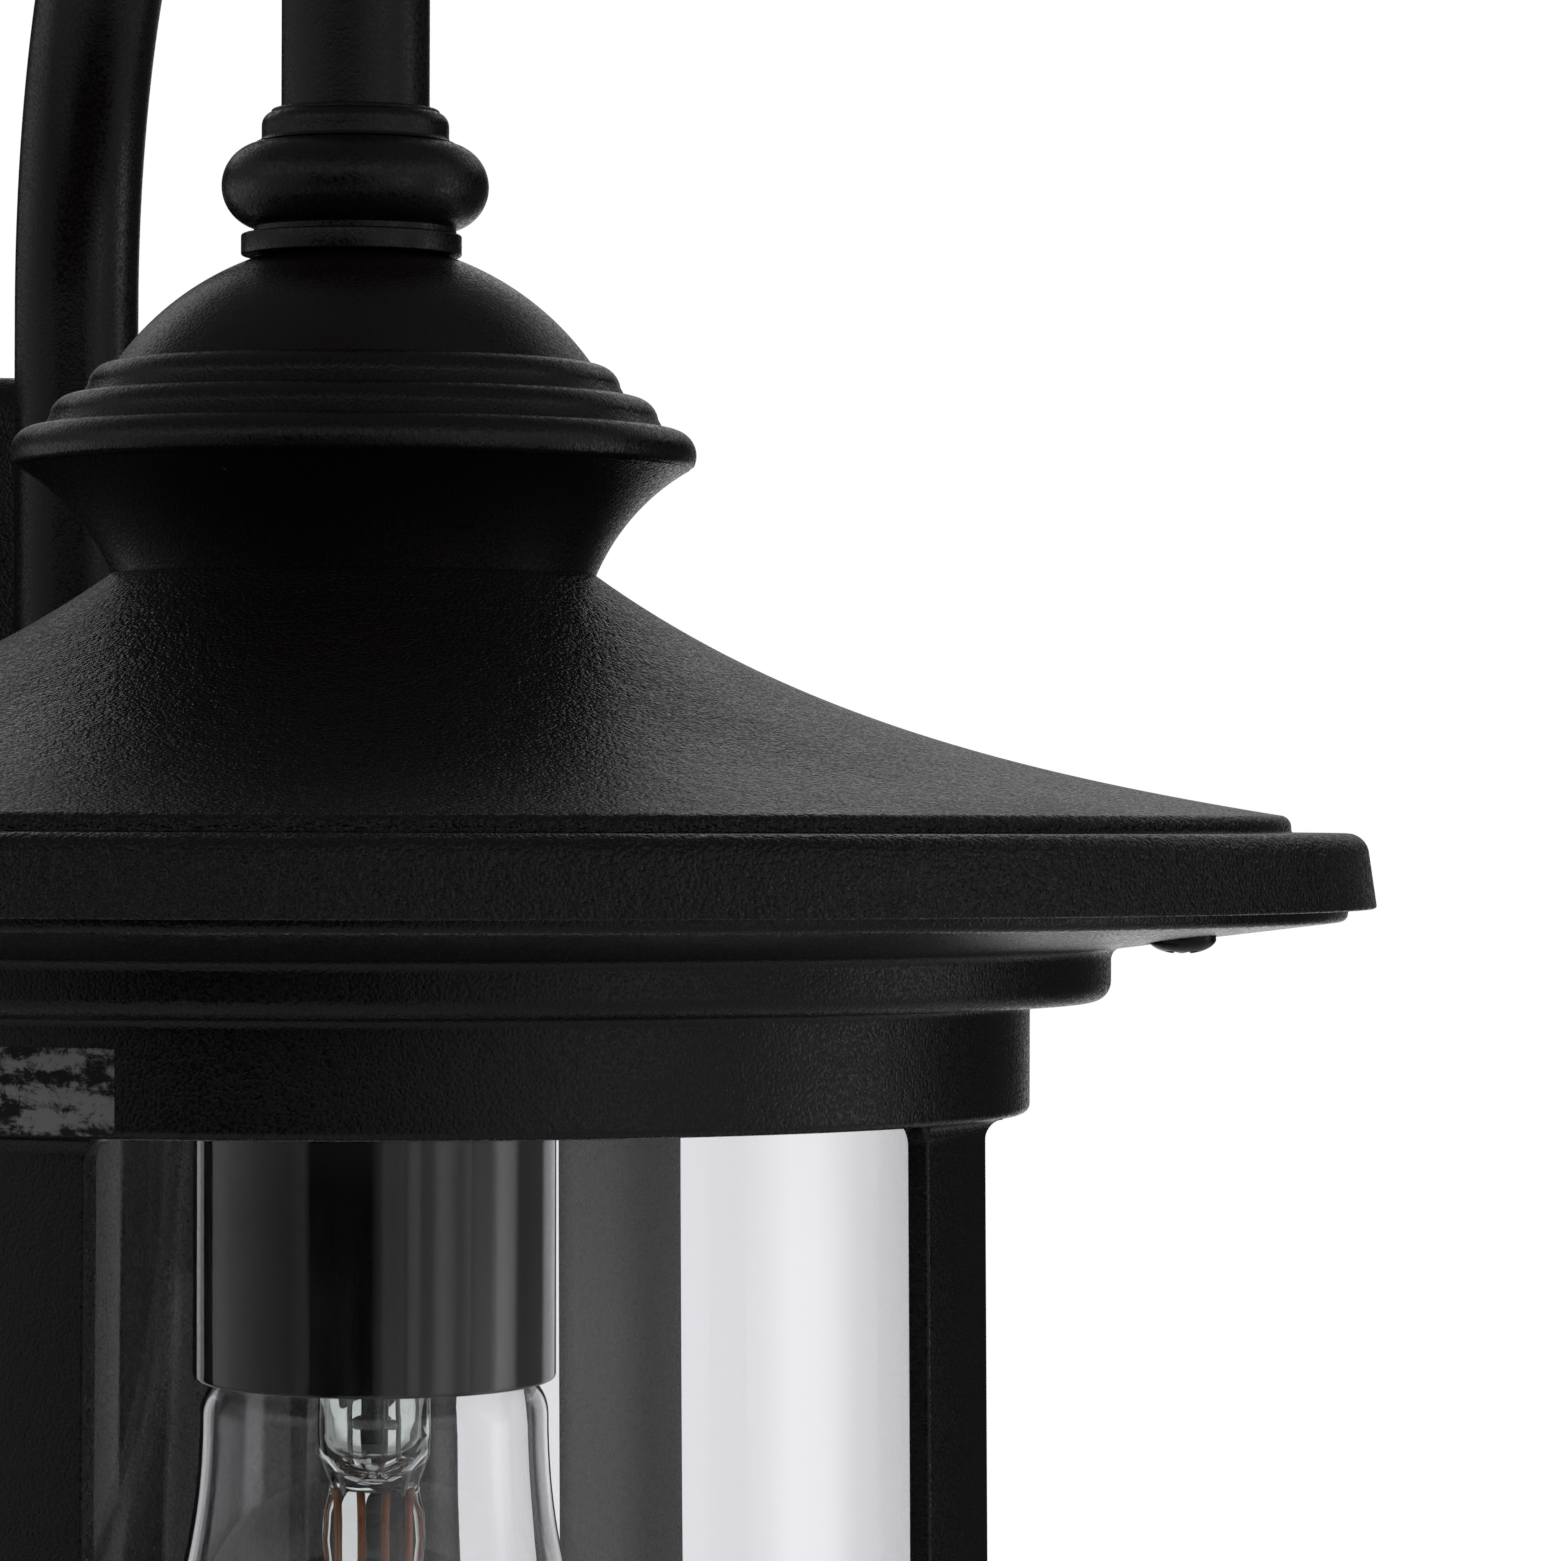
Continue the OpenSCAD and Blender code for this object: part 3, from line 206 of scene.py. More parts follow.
def turned_metal(name, colour, roughness, mark_mm=(0.5, 0.5, 0.5), metallic=1.0, depth_mm=0.02):
    """Plated or bare metal: marks of rolling or turning run along the axis with the longest mark,
    and dull clouds a few millimetres wide vary the shine."""
    made, tree, place = new_material(name)
    stretch = add(tree, "Mapping", {"Scale": tuple(1000 / size for size in mark_mm)}, place)
    marks = add(tree, "TexNoise", {"Scale": 1.0, "Detail": 3.0}, {"Vector": (stretch, "Vector")})
    cloud = add(tree, "TexNoise", {"Scale": 1000 / METAL_CLOUD_MM, "Detail": 2.0}, place)
    gloss = add(tree, "MapRange", {"From Min": 0.3, "From Max": 0.7, "To Min": roughness * 0.75,
                                   "To Max": roughness * 1.3}, {"Value": (cloud, "Fac")})
    bump = add(tree, "Bump", {"Strength": 0.5, "Distance": depth_mm * MM},
               {"Height": (marks, "Fac")})
    dull = [0.8 * channel for channel in linear(colour)[:3]] + [1.0]
    tint = add(tree, "Mix", {"A": linear(colour), "B": dull}, {"Factor": (cloud, "Fac")},
               data_type="RGBA")
    shader = add(tree, "BsdfPrincipled", {"Metallic": metallic},
                 {"Base Color": (tint, "Result"), "Roughness": (gloss, "Result"),
                  "Normal": (bump, "Normal")})
    add(tree, "OutputMaterial", links={"Surface": (shader, "BSDF")})
    return made


def paint(material, *names):
    """Puts a material in every slot of CAD nodes that keep their own mesh."""
    for name in names:
        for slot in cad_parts[name].material_slots:
            slot.material = material


zinc = turned_metal("zinc_plated_steel_strip", "#B4B7B9", 0.35, (12.0, 0.4, 0.4))
paint(zinc, "mounting_strap", "plate_studs")
paint(turned_metal("turned_brass_screw", "#C9A455", 0.3), "earth_screw")

# Cap nuts: two turned steel dome nuts with black zinc plating. They are screwed onto the studs and
# hold the plate against the wall.
NUT_FLATS, NUT_HEIGHT, STUD_X = 7.0, 4.0, 52.5


def cap_nut(x):
    """Rings from the seat up: a hexagon with chamfered corners that shrinks into a ball's cap. The
    hexagon's radius is half its flats over the cosine of the angle from a flat's middle."""
    angle = all_round(96)
    sixth = pi / 3
    hexagon = NUT_FLATS / 2 / np.cos((angle + sixth / 2) % sixth - sixth / 2)
    dome = arc((0.0, NUT_HEIGHT), NUT_FLATS / 2 - 0.2, 0, 90, 10)
    heights = np.array([0.0, 0.4, NUT_HEIGHT - 0.5, NUT_HEIGHT, *dome[:, 1]])
    limits = np.array([NUT_FLATS / 2 + 0.1, 9.0, 9.0, NUT_FLATS / 2, *dome[:, 0]])
    radius = np.minimum(hexagon, limits[:, None])
    radius = np.concatenate([np.zeros((1, 96)), radius])
    heights = np.concatenate([[0.0], heights])[:, None] + 0 * radius
    across, upwards = radius * np.cos(angle), radius * np.sin(angle)
    return np.stack([x + across, -PLATE_DEPTH - heights, upwards], -1)


cap_nuts = surface("black_dome_nuts", cap_nut(-STUD_X), cap_nut(STUD_X), open_rows=True, crease=25)
black_zinc = turned_metal("black_zinc_plated_steel", "#1C1C1E", 0.35, metallic=0.6)
finish(cap_nuts, black_zinc, "black_nut", "cap_nuts")

# Terminal block: a polyamide moulding with three brass clamps and steel screws. It sits inside the
# plate, where the house wiring arrives.


def moulded_plastic(name, colour, roughness, texture_mm=0.6, depth_mm=0.01, ior=1.5):
    """Injection-moulded plastic: an even colour, a fine spark-eroded texture from the mould and a
    slightly uneven shine."""
    made, tree, place = new_material(name)
    grain = add(tree, "TexNoise", {"Scale": 1000 / texture_mm, "Detail": 2.0}, place)
    bump = add(tree, "Bump", {"Distance": depth_mm * MM}, {"Height": (grain, "Fac")})
    cloud = add(tree, "TexNoise", {"Scale": 1000 / PLASTIC_CLOUD_MM, "Detail": 2.0}, place)
    gloss = add(tree, "MapRange", {"From Min": 0.3, "From Max": 0.7, "To Min": roughness * 0.85,
                                   "To Max": roughness * 1.15}, {"Value": (cloud, "Fac")})
    shader = add(tree, "BsdfPrincipled", {"Base Color": linear(colour), "IOR": ior},
                 {"Roughness": (gloss, "Result"), "Normal": (bump, "Normal")})
    add(tree, "OutputMaterial", links={"Surface": (shader, "BSDF")})
    return made


paint(moulded_plastic("moulded_polyamide", "#DAD8CE", 0.45), "terminal_block")
steel = turned_metal("bright_zinc_plated_steel", "#BFC0BF", 0.3)
paint(steel, "terminal_screws")

# Foot of the arm: a turned steel ferrule with a rounded shoulder takes the tube's end. A threaded
# nipple, a lock washer and a nut clamp it to the plate from inside.
TUBE_RADIUS, TUBE_WALL = 8.0, 1.5
FERRULE_HEIGHT, FERRULE_LIP = 7.0, 2.0
NIPPLE_RADIUS = 5.1


def arc_between(start, end, radius, steps=12):
    """Arc of that radius from start to end, bulging to the left of the way."""
    start, end = np.array(start, float), np.array(end, float)
    way = end - start
    half = np.linalg.norm(way) / 2
    middle, aside = (start + end) / 2, np.array([way[1], -way[0]])
    centre = middle + sqrt(radius**2 - half**2) * aside / (2 * half)
    from_angle, to_angle = (degrees(atan2(*(point - centre)[::-1])) for point in (start, end))
    to_angle += 360 * round((from_angle - to_angle) / 360)
    return arc(centre, radius, from_angle, to_angle, steps)


def outline(*pieces):
    """One list of (radius, height) points from arcs, curves and single points."""
    return np.concatenate([np.atleast_2d(np.asarray(piece, float)) for piece in pieces])


def about(centre, radius, angle, height):
    """Points at a radius, an angle and a height about an upright axis."""
    x, y = centre[0] + radius * np.cos(angle), centre[1] + radius * np.sin(angle)
    return np.stack([x, y, height + 0 * x], -1)


def lathe(profile, centre=(0.0, LANTERN_Y), steps=256):
    """Grid of a profile of (radius, height) turned about an upright axis."""
    radius, height = np.asarray(profile, float).T[:, :, None]
    return about(centre, radius, all_round(steps), height)


ferrule_profile = outline(
    [NIPPLE_RADIUS, 0.0], [TUBE_RADIUS + 7, 0.0],
    arc((TUBE_RADIUS + 5, 2), 2, 0, 90),
    arc_between((TUBE_RADIUS + 3.5, 4), (TUBE_RADIUS + 1.8, FERRULE_HEIGHT - 1), 3),
    arc((TUBE_RADIUS + 0.8, FERRULE_HEIGHT - 0.5), 0.5, 0, 90, 4),
    [TUBE_RADIUS + 0.1, FERRULE_HEIGHT], [TUBE_RADIUS + 0.1, FERRULE_LIP],
    [NIPPLE_RADIUS, FERRULE_LIP],
)
x, z, height = np.moveaxis(lathe(ferrule_profile, (0.0, 0.0), 128), -1, 0)
ferrule = surface("arm_foot_ferrule", np.stack([x, -PLATE_DEPTH - height, z], -1))
smooth_coat = powder_coat("powder_coat_on_steel", 0.4, 0.05, 0.32)
finish(ferrule, smooth_coat, "ferrule_coat", "arm_ferrule")
paint(steel, "foot_nipple", "foot_lock_washer", "foot_nut", "tube_inserts")

# Arm: one steel tube, bent at its foot and twice in its bow, with its ends sawn square. The bends'
# outer sides are drawn a little flat. It is powder-coated smoother than the castings.
LEG_Y = -63.0
FOOT_BEND, BOW_BEND = 25.0, 62.0
LEG_TOP, DROP_TOP, DROP_END = 101.0, 122.75, 103.75
BOW_ANGLE, BEND_FLAT = degrees(atan2(0.8, 0.6)), 0.015


def sweep(path, radius, side, columns, flat=0.0):
    """Grid of circles square to a path, with one axis along side. flat squashes each circle across
    the bend by that share."""
    path = np.asarray(path, float)
    ahead_of = np.gradient(path, axis=0)
    ahead_of /= np.linalg.norm(ahead_of, axis=1)[:, None]
    across = np.cross(ahead_of, side)
    across /= np.linalg.norm(across, axis=1)[:, None]
    along = np.cross(across, ahead_of)
    angle = all_round(columns)[None, :, None]
    radius, flat = (np.broadcast_to(np.asarray(value, float), len(path))[:, None, None]
                    for value in (radius, flat))
    return path[:, None] + radius * (along[:, None] * np.cos(angle)
                                     + across[:, None] * (1 - flat) * np.sin(angle))


bow_first = np.array([LEG_Y - BOW_BEND, LEG_TOP])
bow_last = np.array([LANTERN_Y + BOW_BEND, DROP_TOP])
arm_yz = outline(
    np.linspace([-PLATE_DEPTH - FERRULE_LIP, 0], [LEG_Y + FOOT_BEND, 0], 4)[:-1],
    arc((LEG_Y + FOOT_BEND, FOOT_BEND), FOOT_BEND, 270, 180, 24),
    np.linspace([LEG_Y, FOOT_BEND], [LEG_Y, LEG_TOP], 12)[1:-1],
    arc(bow_first, BOW_BEND, 0, BOW_ANGLE, 32),
    arc(bow_last, BOW_BEND, BOW_ANGLE, 180, 64)[1:],
    np.linspace([LANTERN_Y, DROP_TOP], [LANTERN_Y, DROP_END], 6)[1:],
)
arm_path = np.column_stack([np.zeros(len(arm_yz)), arm_yz])
bend = np.abs(np.gradient(np.unwrap(np.arctan2(*np.gradient(arm_yz, axis=0).T))))
bend = np.convolve(np.pad(bend > 0.01, 3, "edge"), np.ones(7) / 7, "valid")
arm_out = sweep(arm_path, TUBE_RADIUS, (1, 0, 0), 64, BEND_FLAT * bend)
arm_in = sweep(arm_path, TUBE_RADIUS - TUBE_WALL, (1, 0, 0), 64, BEND_FLAT * bend)
arm = surface("bent_tube_arm", np.concatenate([arm_out, arm_in[::-1]]))
arm_coat = powder_coat("powder_coat_on_steel_tube", 0.4, 0.04, 0.32)
finish(arm, arm_coat, "arm_coat", "arm_tube")

# Supply lead: a round black PVC-sheathed lead from the terminal block through the arm to the
# lampholder. Its CAD solid keeps its route; the sheath is ribbed by the twist of its cores.
paint(moulded_plastic("extruded_pvc_sheath", "#26262A", 0.5, 1.5, 0.05), "supply_lead")

# Knuckle and washer: a turned aluminium bead with a small collar hides the tube's end. A thick flat
# washer lies under it, a little off centre, as it was clamped.
KNUCKLE_Z, KNUCKLE_TOP = 98.25, 111.75
BEAD_RADIUS, COLLAR_RADIUS, COLLAR_HEIGHT = 14.4, 10.1, 3.6
WASHER_Z, WASHER_THICK, WASHER_RADIUS, WASHER_SLIP = 95.95, 2.3, 11.9, -0.4
bead_half = (KNUCKLE_TOP - KNUCKLE_Z - COLLAR_HEIGHT - 0.5) / 2
bead_centre = np.array([BEAD_RADIUS - bead_half, KNUCKLE_Z + 0.5 + bead_half])
knuckle_profile = outline(
    [NIPPLE_RADIUS, KNUCKLE_Z], [bead_centre[0] + 1.2, KNUCKLE_Z],
    arc(bead_centre, bead_half, -75, 82, 32),
    arc((COLLAR_RADIUS + 0.6, KNUCKLE_TOP - COLLAR_HEIGHT + 0.6), 0.6, 270, 180, 5),
    [COLLAR_RADIUS, KNUCKLE_TOP - 2.2],
    arc((COLLAR_RADIUS - 1.5, KNUCKLE_TOP - 1.8), 1.5, 0, 70, 8),
    arc((TUBE_RADIUS + 0.75, KNUCKLE_TOP - 0.35), 0.35, 20, 90, 4),
    [TUBE_RADIUS + 0.1, KNUCKLE_TOP], [TUBE_RADIUS + 0.1, DROP_END], [NIPPLE_RADIUS, DROP_END],
)
knuckle = surface("turned_knuckle", lathe(knuckle_profile, steps=192))
finish(knuckle, smooth_coat, "knuckle_coat", "knuckle")
washer_profile = outline(
    [NIPPLE_RADIUS, WASHER_Z],
    arc((WASHER_RADIUS - 0.25, WASHER_Z + 0.25), 0.25, 270, 360, 4),
    arc((WASHER_RADIUS - 0.25, WASHER_Z + WASHER_THICK - 0.25), 0.25, 0, 90, 4),
    [NIPPLE_RADIUS, WASHER_Z + WASHER_THICK],
)
slip = WASHER_SLIP * right
washer = surface("clamped_flat_washer", lathe(washer_profile, (slip[0], LANTERN_Y + slip[1]), 160))
finish(washer, smooth_coat, "washer_coat", "stem_washer")

# Bell and neck cup: two aluminium spinnings. The bell is a dome on three rounded ripples and a
# rolled rim; the cup below it flares up from the roof to the rim. Both are powder-coated.
BELL_Z, BELL_HEIGHT, BELL_RADIUS, BELL_TOP = 73.05, 22.9, 36.9, 10.0
DOME_RADIUS, DOME_FOOT, BELL_WALL, RIPPLE_RADIUS = 31.4, 25.8, 2.0, 2.7
CUP_Z, CUP_HEIGHT, CUP_FOOT, CUP_FLARE = 61.55, 11.5, 26.1, 24.0
dome_centre = np.array([0.0, BELL_HEIGHT - sqrt(DOME_RADIUS**2 - BELL_TOP**2)])
dome_foot_z = dome_centre[1] + sqrt(DOME_RADIUS**2 - DOME_FOOT**2)
ripple_first = np.array([DOME_FOOT + 0.2, dome_foot_z - RIPPLE_RADIUS + 0.1])
ripple_last = np.array([BELL_RADIUS - RIPPLE_RADIUS, 1.5])
dome_angles = (90 - degrees(asin(BELL_TOP / DOME_RADIUS)),
               degrees(acos(DOME_FOOT / DOME_RADIUS)))
inner_foot = DOME_FOOT - BELL_WALL
inner_radius = DOME_RADIUS - BELL_WALL
bell_profile = outline(
    [NIPPLE_RADIUS, BELL_HEIGHT],
    arc(dome_centre, DOME_RADIUS, *dome_angles, 40),
    arc(ripple_first, RIPPLE_RADIUS, 85, 8, 14),
    arc((ripple_first + ripple_last) / 2, RIPPLE_RADIUS, 106, 8, 14),
    arc(ripple_last, RIPPLE_RADIUS, 106, -25, 22),
    arc((BELL_RADIUS - 0.9, 0.4), 0.4, -40, -90, 3),
    [BELL_RADIUS - RIPPLE_RADIUS + 0.4, 0.0], [BELL_RADIUS - RIPPLE_RADIUS - 0.2, 1.5],
    [inner_foot, dome_foot_z - RIPPLE_RADIUS],
    arc(dome_centre, inner_radius, degrees(acos(inner_foot / inner_radius)), dome_angles[0], 20),
    [NIPPLE_RADIUS, BELL_HEIGHT - BELL_WALL],
) + [0, BELL_Z]
bell = surface("spun_bell", lathe(bell_profile), crease=50)
bell_coat = powder_coat("powder_coat_on_spun_bell", 0.36, 0.06, 0.30)
finish(bell, bell_coat, "bell_coat", "bell_cap")
flare = arc_between((CUP_FOOT, 0), (BELL_RADIUS - 0.7, CUP_HEIGHT), CUP_FLARE, 30)
within = (flare[:, 1] > BELL_WALL) & (flare[:, 1] < CUP_HEIGHT - 1)
inner_flare = flare[within][::-1] - [BELL_WALL, 0]
cup_profile = outline(
    [NIPPLE_RADIUS, 0], flare, [BELL_RADIUS - 0.7 - BELL_WALL, CUP_HEIGHT], inner_flare,
    [CUP_FOOT - BELL_WALL, BELL_WALL], [NIPPLE_RADIUS, BELL_WALL],
) + [0, CUP_Z]
cup = surface("spun_neck_cup", lathe(cup_profile))
finish(cup, bell_coat, "cup_coat", "neck_cup")

# Roof: a die-cast aluminium shell that sweeps out to a small step and a rounded skirt, with three
# screw bosses inside. The coat is grittier here, where the powder lay thick on a flat surface.
ROOF_RADIUS, ROOF_RISE, ROOF_WALL = 110.0, 25.6, 2.5
STEP_RADIUS, STEP_ROUND, STEP_HEIGHT, SKIRT_ROUND = 100.9, 1.3, 1.9, 2.4
ROOF_EDGE_Z, LEDGE_Z, SKIRT_Z, SKIRT_INSIDE = 35.95, 33.75, 26.05, 107.3
CONE_LOW_Z, FLANGE_Z, FLANGE_RADIUS, STEP_RING_RADIUS, CAGE_WALL = 21.65, 24.65, 107.0, 81.7, 2.8
SCREW_CIRCLE, BOSS_RADIUS, BOSS_HOLE, SCREW_AZIMUTHS = 94.0, 4.5, 2.05, (51.0, 171.0, 291.0)


def bezier(start, pull, push, end, steps=16):
    """Points on a cubic Bezier curve."""
    t = np.linspace(0, 1, steps + 1)[:, None]
    rest = 1 - t
    start, pull, push, end = map(np.asarray, (start, pull, push, end))
    return rest**3 * start + 3 * rest**2 * t * pull + 3 * rest * t**2 * push + t**3 * end


def flange_low(radius):
    """Height of the flange's lower cone at a radius."""
    share = (radius - STEP_RING_RADIUS) / (FLANGE_RADIUS - 0.8 - STEP_RING_RADIUS)
    return CONE_LOW_Z + (FLANGE_Z - CONE_LOW_Z) * share


roof_sweep = bezier((CUP_FOOT, ROOF_RISE), (CUP_FOOT + 21, ROOF_RISE - 15), (STEP_RADIUS - 29, 4.4),
                    (STEP_RADIUS - STEP_ROUND, 0), 64)
ledge_under = LEDGE_Z - ROOF_WALL
under_sweep = roof_sweep[(roof_sweep[:, 0] > CUP_FOOT + 2) & (roof_sweep[:, 0] < STEP_RADIUS - 4)]
roof_profile = outline(
    [NIPPLE_RADIUS, ROOF_RISE], roof_sweep[:-1],
    arc((STEP_RADIUS - STEP_ROUND, -STEP_ROUND), STEP_ROUND, 88, 0, 8),
    arc((STEP_RADIUS + 0.35, -STEP_HEIGHT + 0.35), 0.35, 180, 270, 4),
    arc((ROOF_RADIUS - 0.8 - SKIRT_ROUND, -STEP_HEIGHT - SKIRT_ROUND), SKIRT_ROUND, 90, 3, 12),
    arc((ROOF_RADIUS - 0.3, SKIRT_Z - ROOF_EDGE_Z + 0.3), 0.3, 0, -90, 3),
    arc((SKIRT_INSIDE + 0.3, SKIRT_Z - ROOF_EDGE_Z + 0.3), 0.3, 270, 180, 3),
    [SKIRT_INSIDE, ledge_under - ROOF_EDGE_Z], [STEP_RADIUS - 2, ledge_under - ROOF_EDGE_Z],
    [STEP_RADIUS - 2, -ROOF_WALL - 0.2], under_sweep[::-1] - [1, ROOF_WALL],
    [CUP_FOOT - 1, ROOF_RISE - ROOF_WALL], [NIPPLE_RADIUS, ROOF_RISE - ROOF_WALL],
) + [0, ROOF_EDGE_Z]
boss_foot = flange_low(SCREW_CIRCLE + BOSS_RADIUS) + CAGE_WALL
boss_top = ROOF_EDGE_Z - 1.2
boss_profile = [[BOSS_HOLE, boss_foot], [BOSS_RADIUS - 0.3, boss_foot],
                [BOSS_RADIUS, boss_foot + 0.3], [BOSS_RADIUS + 0.5, boss_top],
                [BOSS_HOLE, boss_top]]
# Azimuth 0 is towards the front
screw_places = [(SCREW_CIRCLE * sin(angle), LANTERN_Y - SCREW_CIRCLE * cos(angle))
                for angle in map(radians, SCREW_AZIMUTHS)]
bosses = [lathe(boss_profile, spot, 48) for spot in screw_places]
roof = surface("cast_round_roof", lathe(roof_profile, steps=384), *bosses)
roof_coat = powder_coat("gritty_powder_coat_on_cast_roof", 0.42, 0.36, 0.30)
finish(roof, roof_coat, "roof_coat", "roof")
paint(steel, "stem_rod", "stem_lock_washer", "stem_nut")

# Cage: one aluminium casting of a flange with a shallow cone, a step ring, a deep glass ring, four
# leaning bars and a base ring. The bars grow out of the rings with cast fillets.
RING_RADIUS, RING_INSIDE, RING_Z, STEP_RING_Z, SHELF_Z = 73.0, 68.2, 3.95, 15.95, 18.75
BASE_TOP_Z, BASE_Z, LIP_RADIUS, LIP_THICK = -114.05, -126.05, 63.5, 3.0
BAR_WIDTH, BAR_THICK, BAR_INSET, BAR_FILLET, BAR_EDGE = 15.8, 2.2, 2.3, 2.2, 0.45
BAR_LEAN, CAGE_TURN = radians(0.5), 3.5
wall_inside = STEP_RING_RADIUS - CAGE_WALL
rim_inside = FLANGE_RADIUS - CAGE_WALL
step_top = STEP_RING_RADIUS + 1.4
cage_top_profile = outline(
    [FLANGE_RADIUS, ledge_under], [FLANGE_RADIUS, FLANGE_Z + 1.1],
    arc((FLANGE_RADIUS - 0.9, FLANGE_Z + 0.85), 0.85, -5, -80, 5),
    np.linspace([FLANGE_RADIUS - 2, flange_low(FLANGE_RADIUS - 2)],
                [STEP_RING_RADIUS + 3, flange_low(STEP_RING_RADIUS + 3)], 24),
    arc((step_top, flange_low(step_top) - 1.4), 1.4, 85, 180, 8),
    arc((STEP_RING_RADIUS - 2.2, STEP_RING_Z + 2.2), 2.2, 0, -90, 12),
    arc((RING_RADIUS + 1.2, STEP_RING_Z - 1.2), 1.2, 90, 180, 8),
    [RING_RADIUS, RING_Z + 6],
    arc((RING_RADIUS - 1, RING_Z + 1), 1, 0, -90, 8),
    [RING_INSIDE + 0.3, RING_Z], [RING_INSIDE, RING_Z + 0.3], [RING_INSIDE, SHELF_Z],
    [wall_inside, SHELF_Z], [wall_inside, flange_low(wall_inside) + CAGE_WALL],
    [rim_inside, flange_low(rim_inside) + CAGE_WALL], [rim_inside, ledge_under],
)
cage_base_profile = outline(
    [RING_INSIDE, BASE_TOP_Z],
    arc((RING_RADIUS - 1, BASE_TOP_Z - 1), 1, 90, 0, 8),
    [RING_RADIUS, BASE_Z + 5],
    arc((RING_RADIUS - 1.6, BASE_Z + 1.6), 1.6, 0, -90, 10),
    [LIP_RADIUS + 0.6, BASE_Z], [LIP_RADIUS, BASE_Z + 0.6], [LIP_RADIUS, BASE_Z + LIP_THICK],
    [RING_INSIDE, BASE_Z + LIP_THICK],
)


def bar(azimuth):
    """Sections stacked from ring to ring. A section is a flat rectangle with soft outer edges that
    grows wider and thicker near each end by a quarter circle, and leans out by the bar's lean."""
    length = RING_Z - BASE_TOP_Z
    heights = np.concatenate([[-1.5], BAR_FILLET * (1 - np.cos(np.linspace(0, pi / 2, 10))),
                              np.linspace(6, length - 6, 12)])
    heights = np.concatenate([heights, length - heights[:11][::-1]])
    near = np.clip(np.minimum(heights, length - heights), 0, BAR_FILLET)
    grow = BAR_FILLET - np.sqrt(BAR_FILLET**2 - (BAR_FILLET - near) ** 2)
    half = BAR_WIDTH / 2 + grow[:, None]
    edge = arc((BAR_EDGE, BAR_EDGE), BAR_EDGE, 180, 270, 5)
    out = np.concatenate([edge[:, 1], edge[::-1, 1], [BAR_THICK, BAR_THICK]])
    side = np.concatenate([edge[:, 0] - half, half - edge[::-1, 0], half, -half], 1)
    lean = np.tan(BAR_LEAN) * (length - heights)[:, None]
    face = RING_RADIUS - BAR_INSET + lean + 0.5 * grow[:, None] * (out == 0)
    radius = face - out
    angle = radians(azimuth)
    x = side * cos(angle) + radius * sin(angle)
    y = LANTERN_Y + side * sin(angle) - radius * cos(angle)
    grid = np.stack([x, y, BASE_TOP_Z + heights[:, None] + 0 * side], -1)
    ends = grid[[0, -1]].mean(1, keepdims=True) + 0 * grid[[0, -1]]
    return np.concatenate([ends[:1], grid, ends[1:]])


def join(name, *pieces):
    """One mesh from several pieces, which are then removed."""
    work = bmesh.new()
    for piece in pieces:
        work.from_mesh(piece.data)
        bpy.data.meshes.remove(piece.data)
    mesh = bpy.data.meshes.new(name)
    work.to_mesh(mesh)
    work.free()
    made = bpy.data.objects.new(name, mesh)
    bpy.context.scene.collection.objects.link(made)
    return made


def cut(piece, *cutters):
    """Takes the cutters' space out of a piece, for good, and keeps its sharp edges."""
    for cutter in cutters:
        step = piece.modifiers.new("cut", "BOOLEAN")
        step.operation, step.solver, step.object = "DIFFERENCE", "EXACT", cutter
    graph = bpy.context.evaluated_depsgraph_get()
    mesh = bpy.data.meshes.new_from_object(piece.evaluated_get(graph))
    piece.modifiers.clear()
    piece.data = mesh
    for cutter in cutters:
        bpy.data.objects.remove(cutter)
    mesh.shade_smooth()
    mesh.set_sharp_from_angle(angle=radians(40))
    return piece


HEAD_RADIUS, SCREW_RADIUS, SCREW_PLAY = 3.5, 2.0, 0.2
head_seat_z = flange_low(SCREW_CIRCLE + HEAD_RADIUS)
head_hole, shank_hole = HEAD_RADIUS + SCREW_PLAY, SCREW_RADIUS + SCREW_PLAY
drill = [[0, CONE_LOW_Z - 2], [head_hole, CONE_LOW_Z - 2], [head_hole, head_seat_z],
         [shank_hole, head_seat_z], [shank_hole, head_seat_z + 8], [0, head_seat_z + 8]]
spot_faces = [surface("spot_face", lathe(drill, spot, 64), open_rows=True) for spot in screw_places]
cage_top = cut(surface("cage_top", lathe(cage_top_profile, steps=384)), *spot_faces)
bar_grids = [bar(CAGE_TURN + corner) for corner in (45, 135, 225, 315)]
bars = surface("cage_bars", *bar_grids, open_rows=True)
cage_base = surface("cage_base", lathe(cage_base_profile, steps=384))
cage = join("cast_four_bar_cage", cage_top, bars, cage_base)
cage_coat = powder_coat("powder_coat_on_cast_cage", 0.36, 0.09, 0.30)
finish(cage, cage_coat, "cage_coat", "cage")

# Cage screws: three black machine screws with domed heads and cross recesses, driven up through the
# flange into the roof's bosses.
DOME_HEIGHT, RECESS_DEPTH, RECESS_HALF, RECESS_REACH, SCREW_TURN = 1.9, 1.3, 0.42, 1.75, 0.4


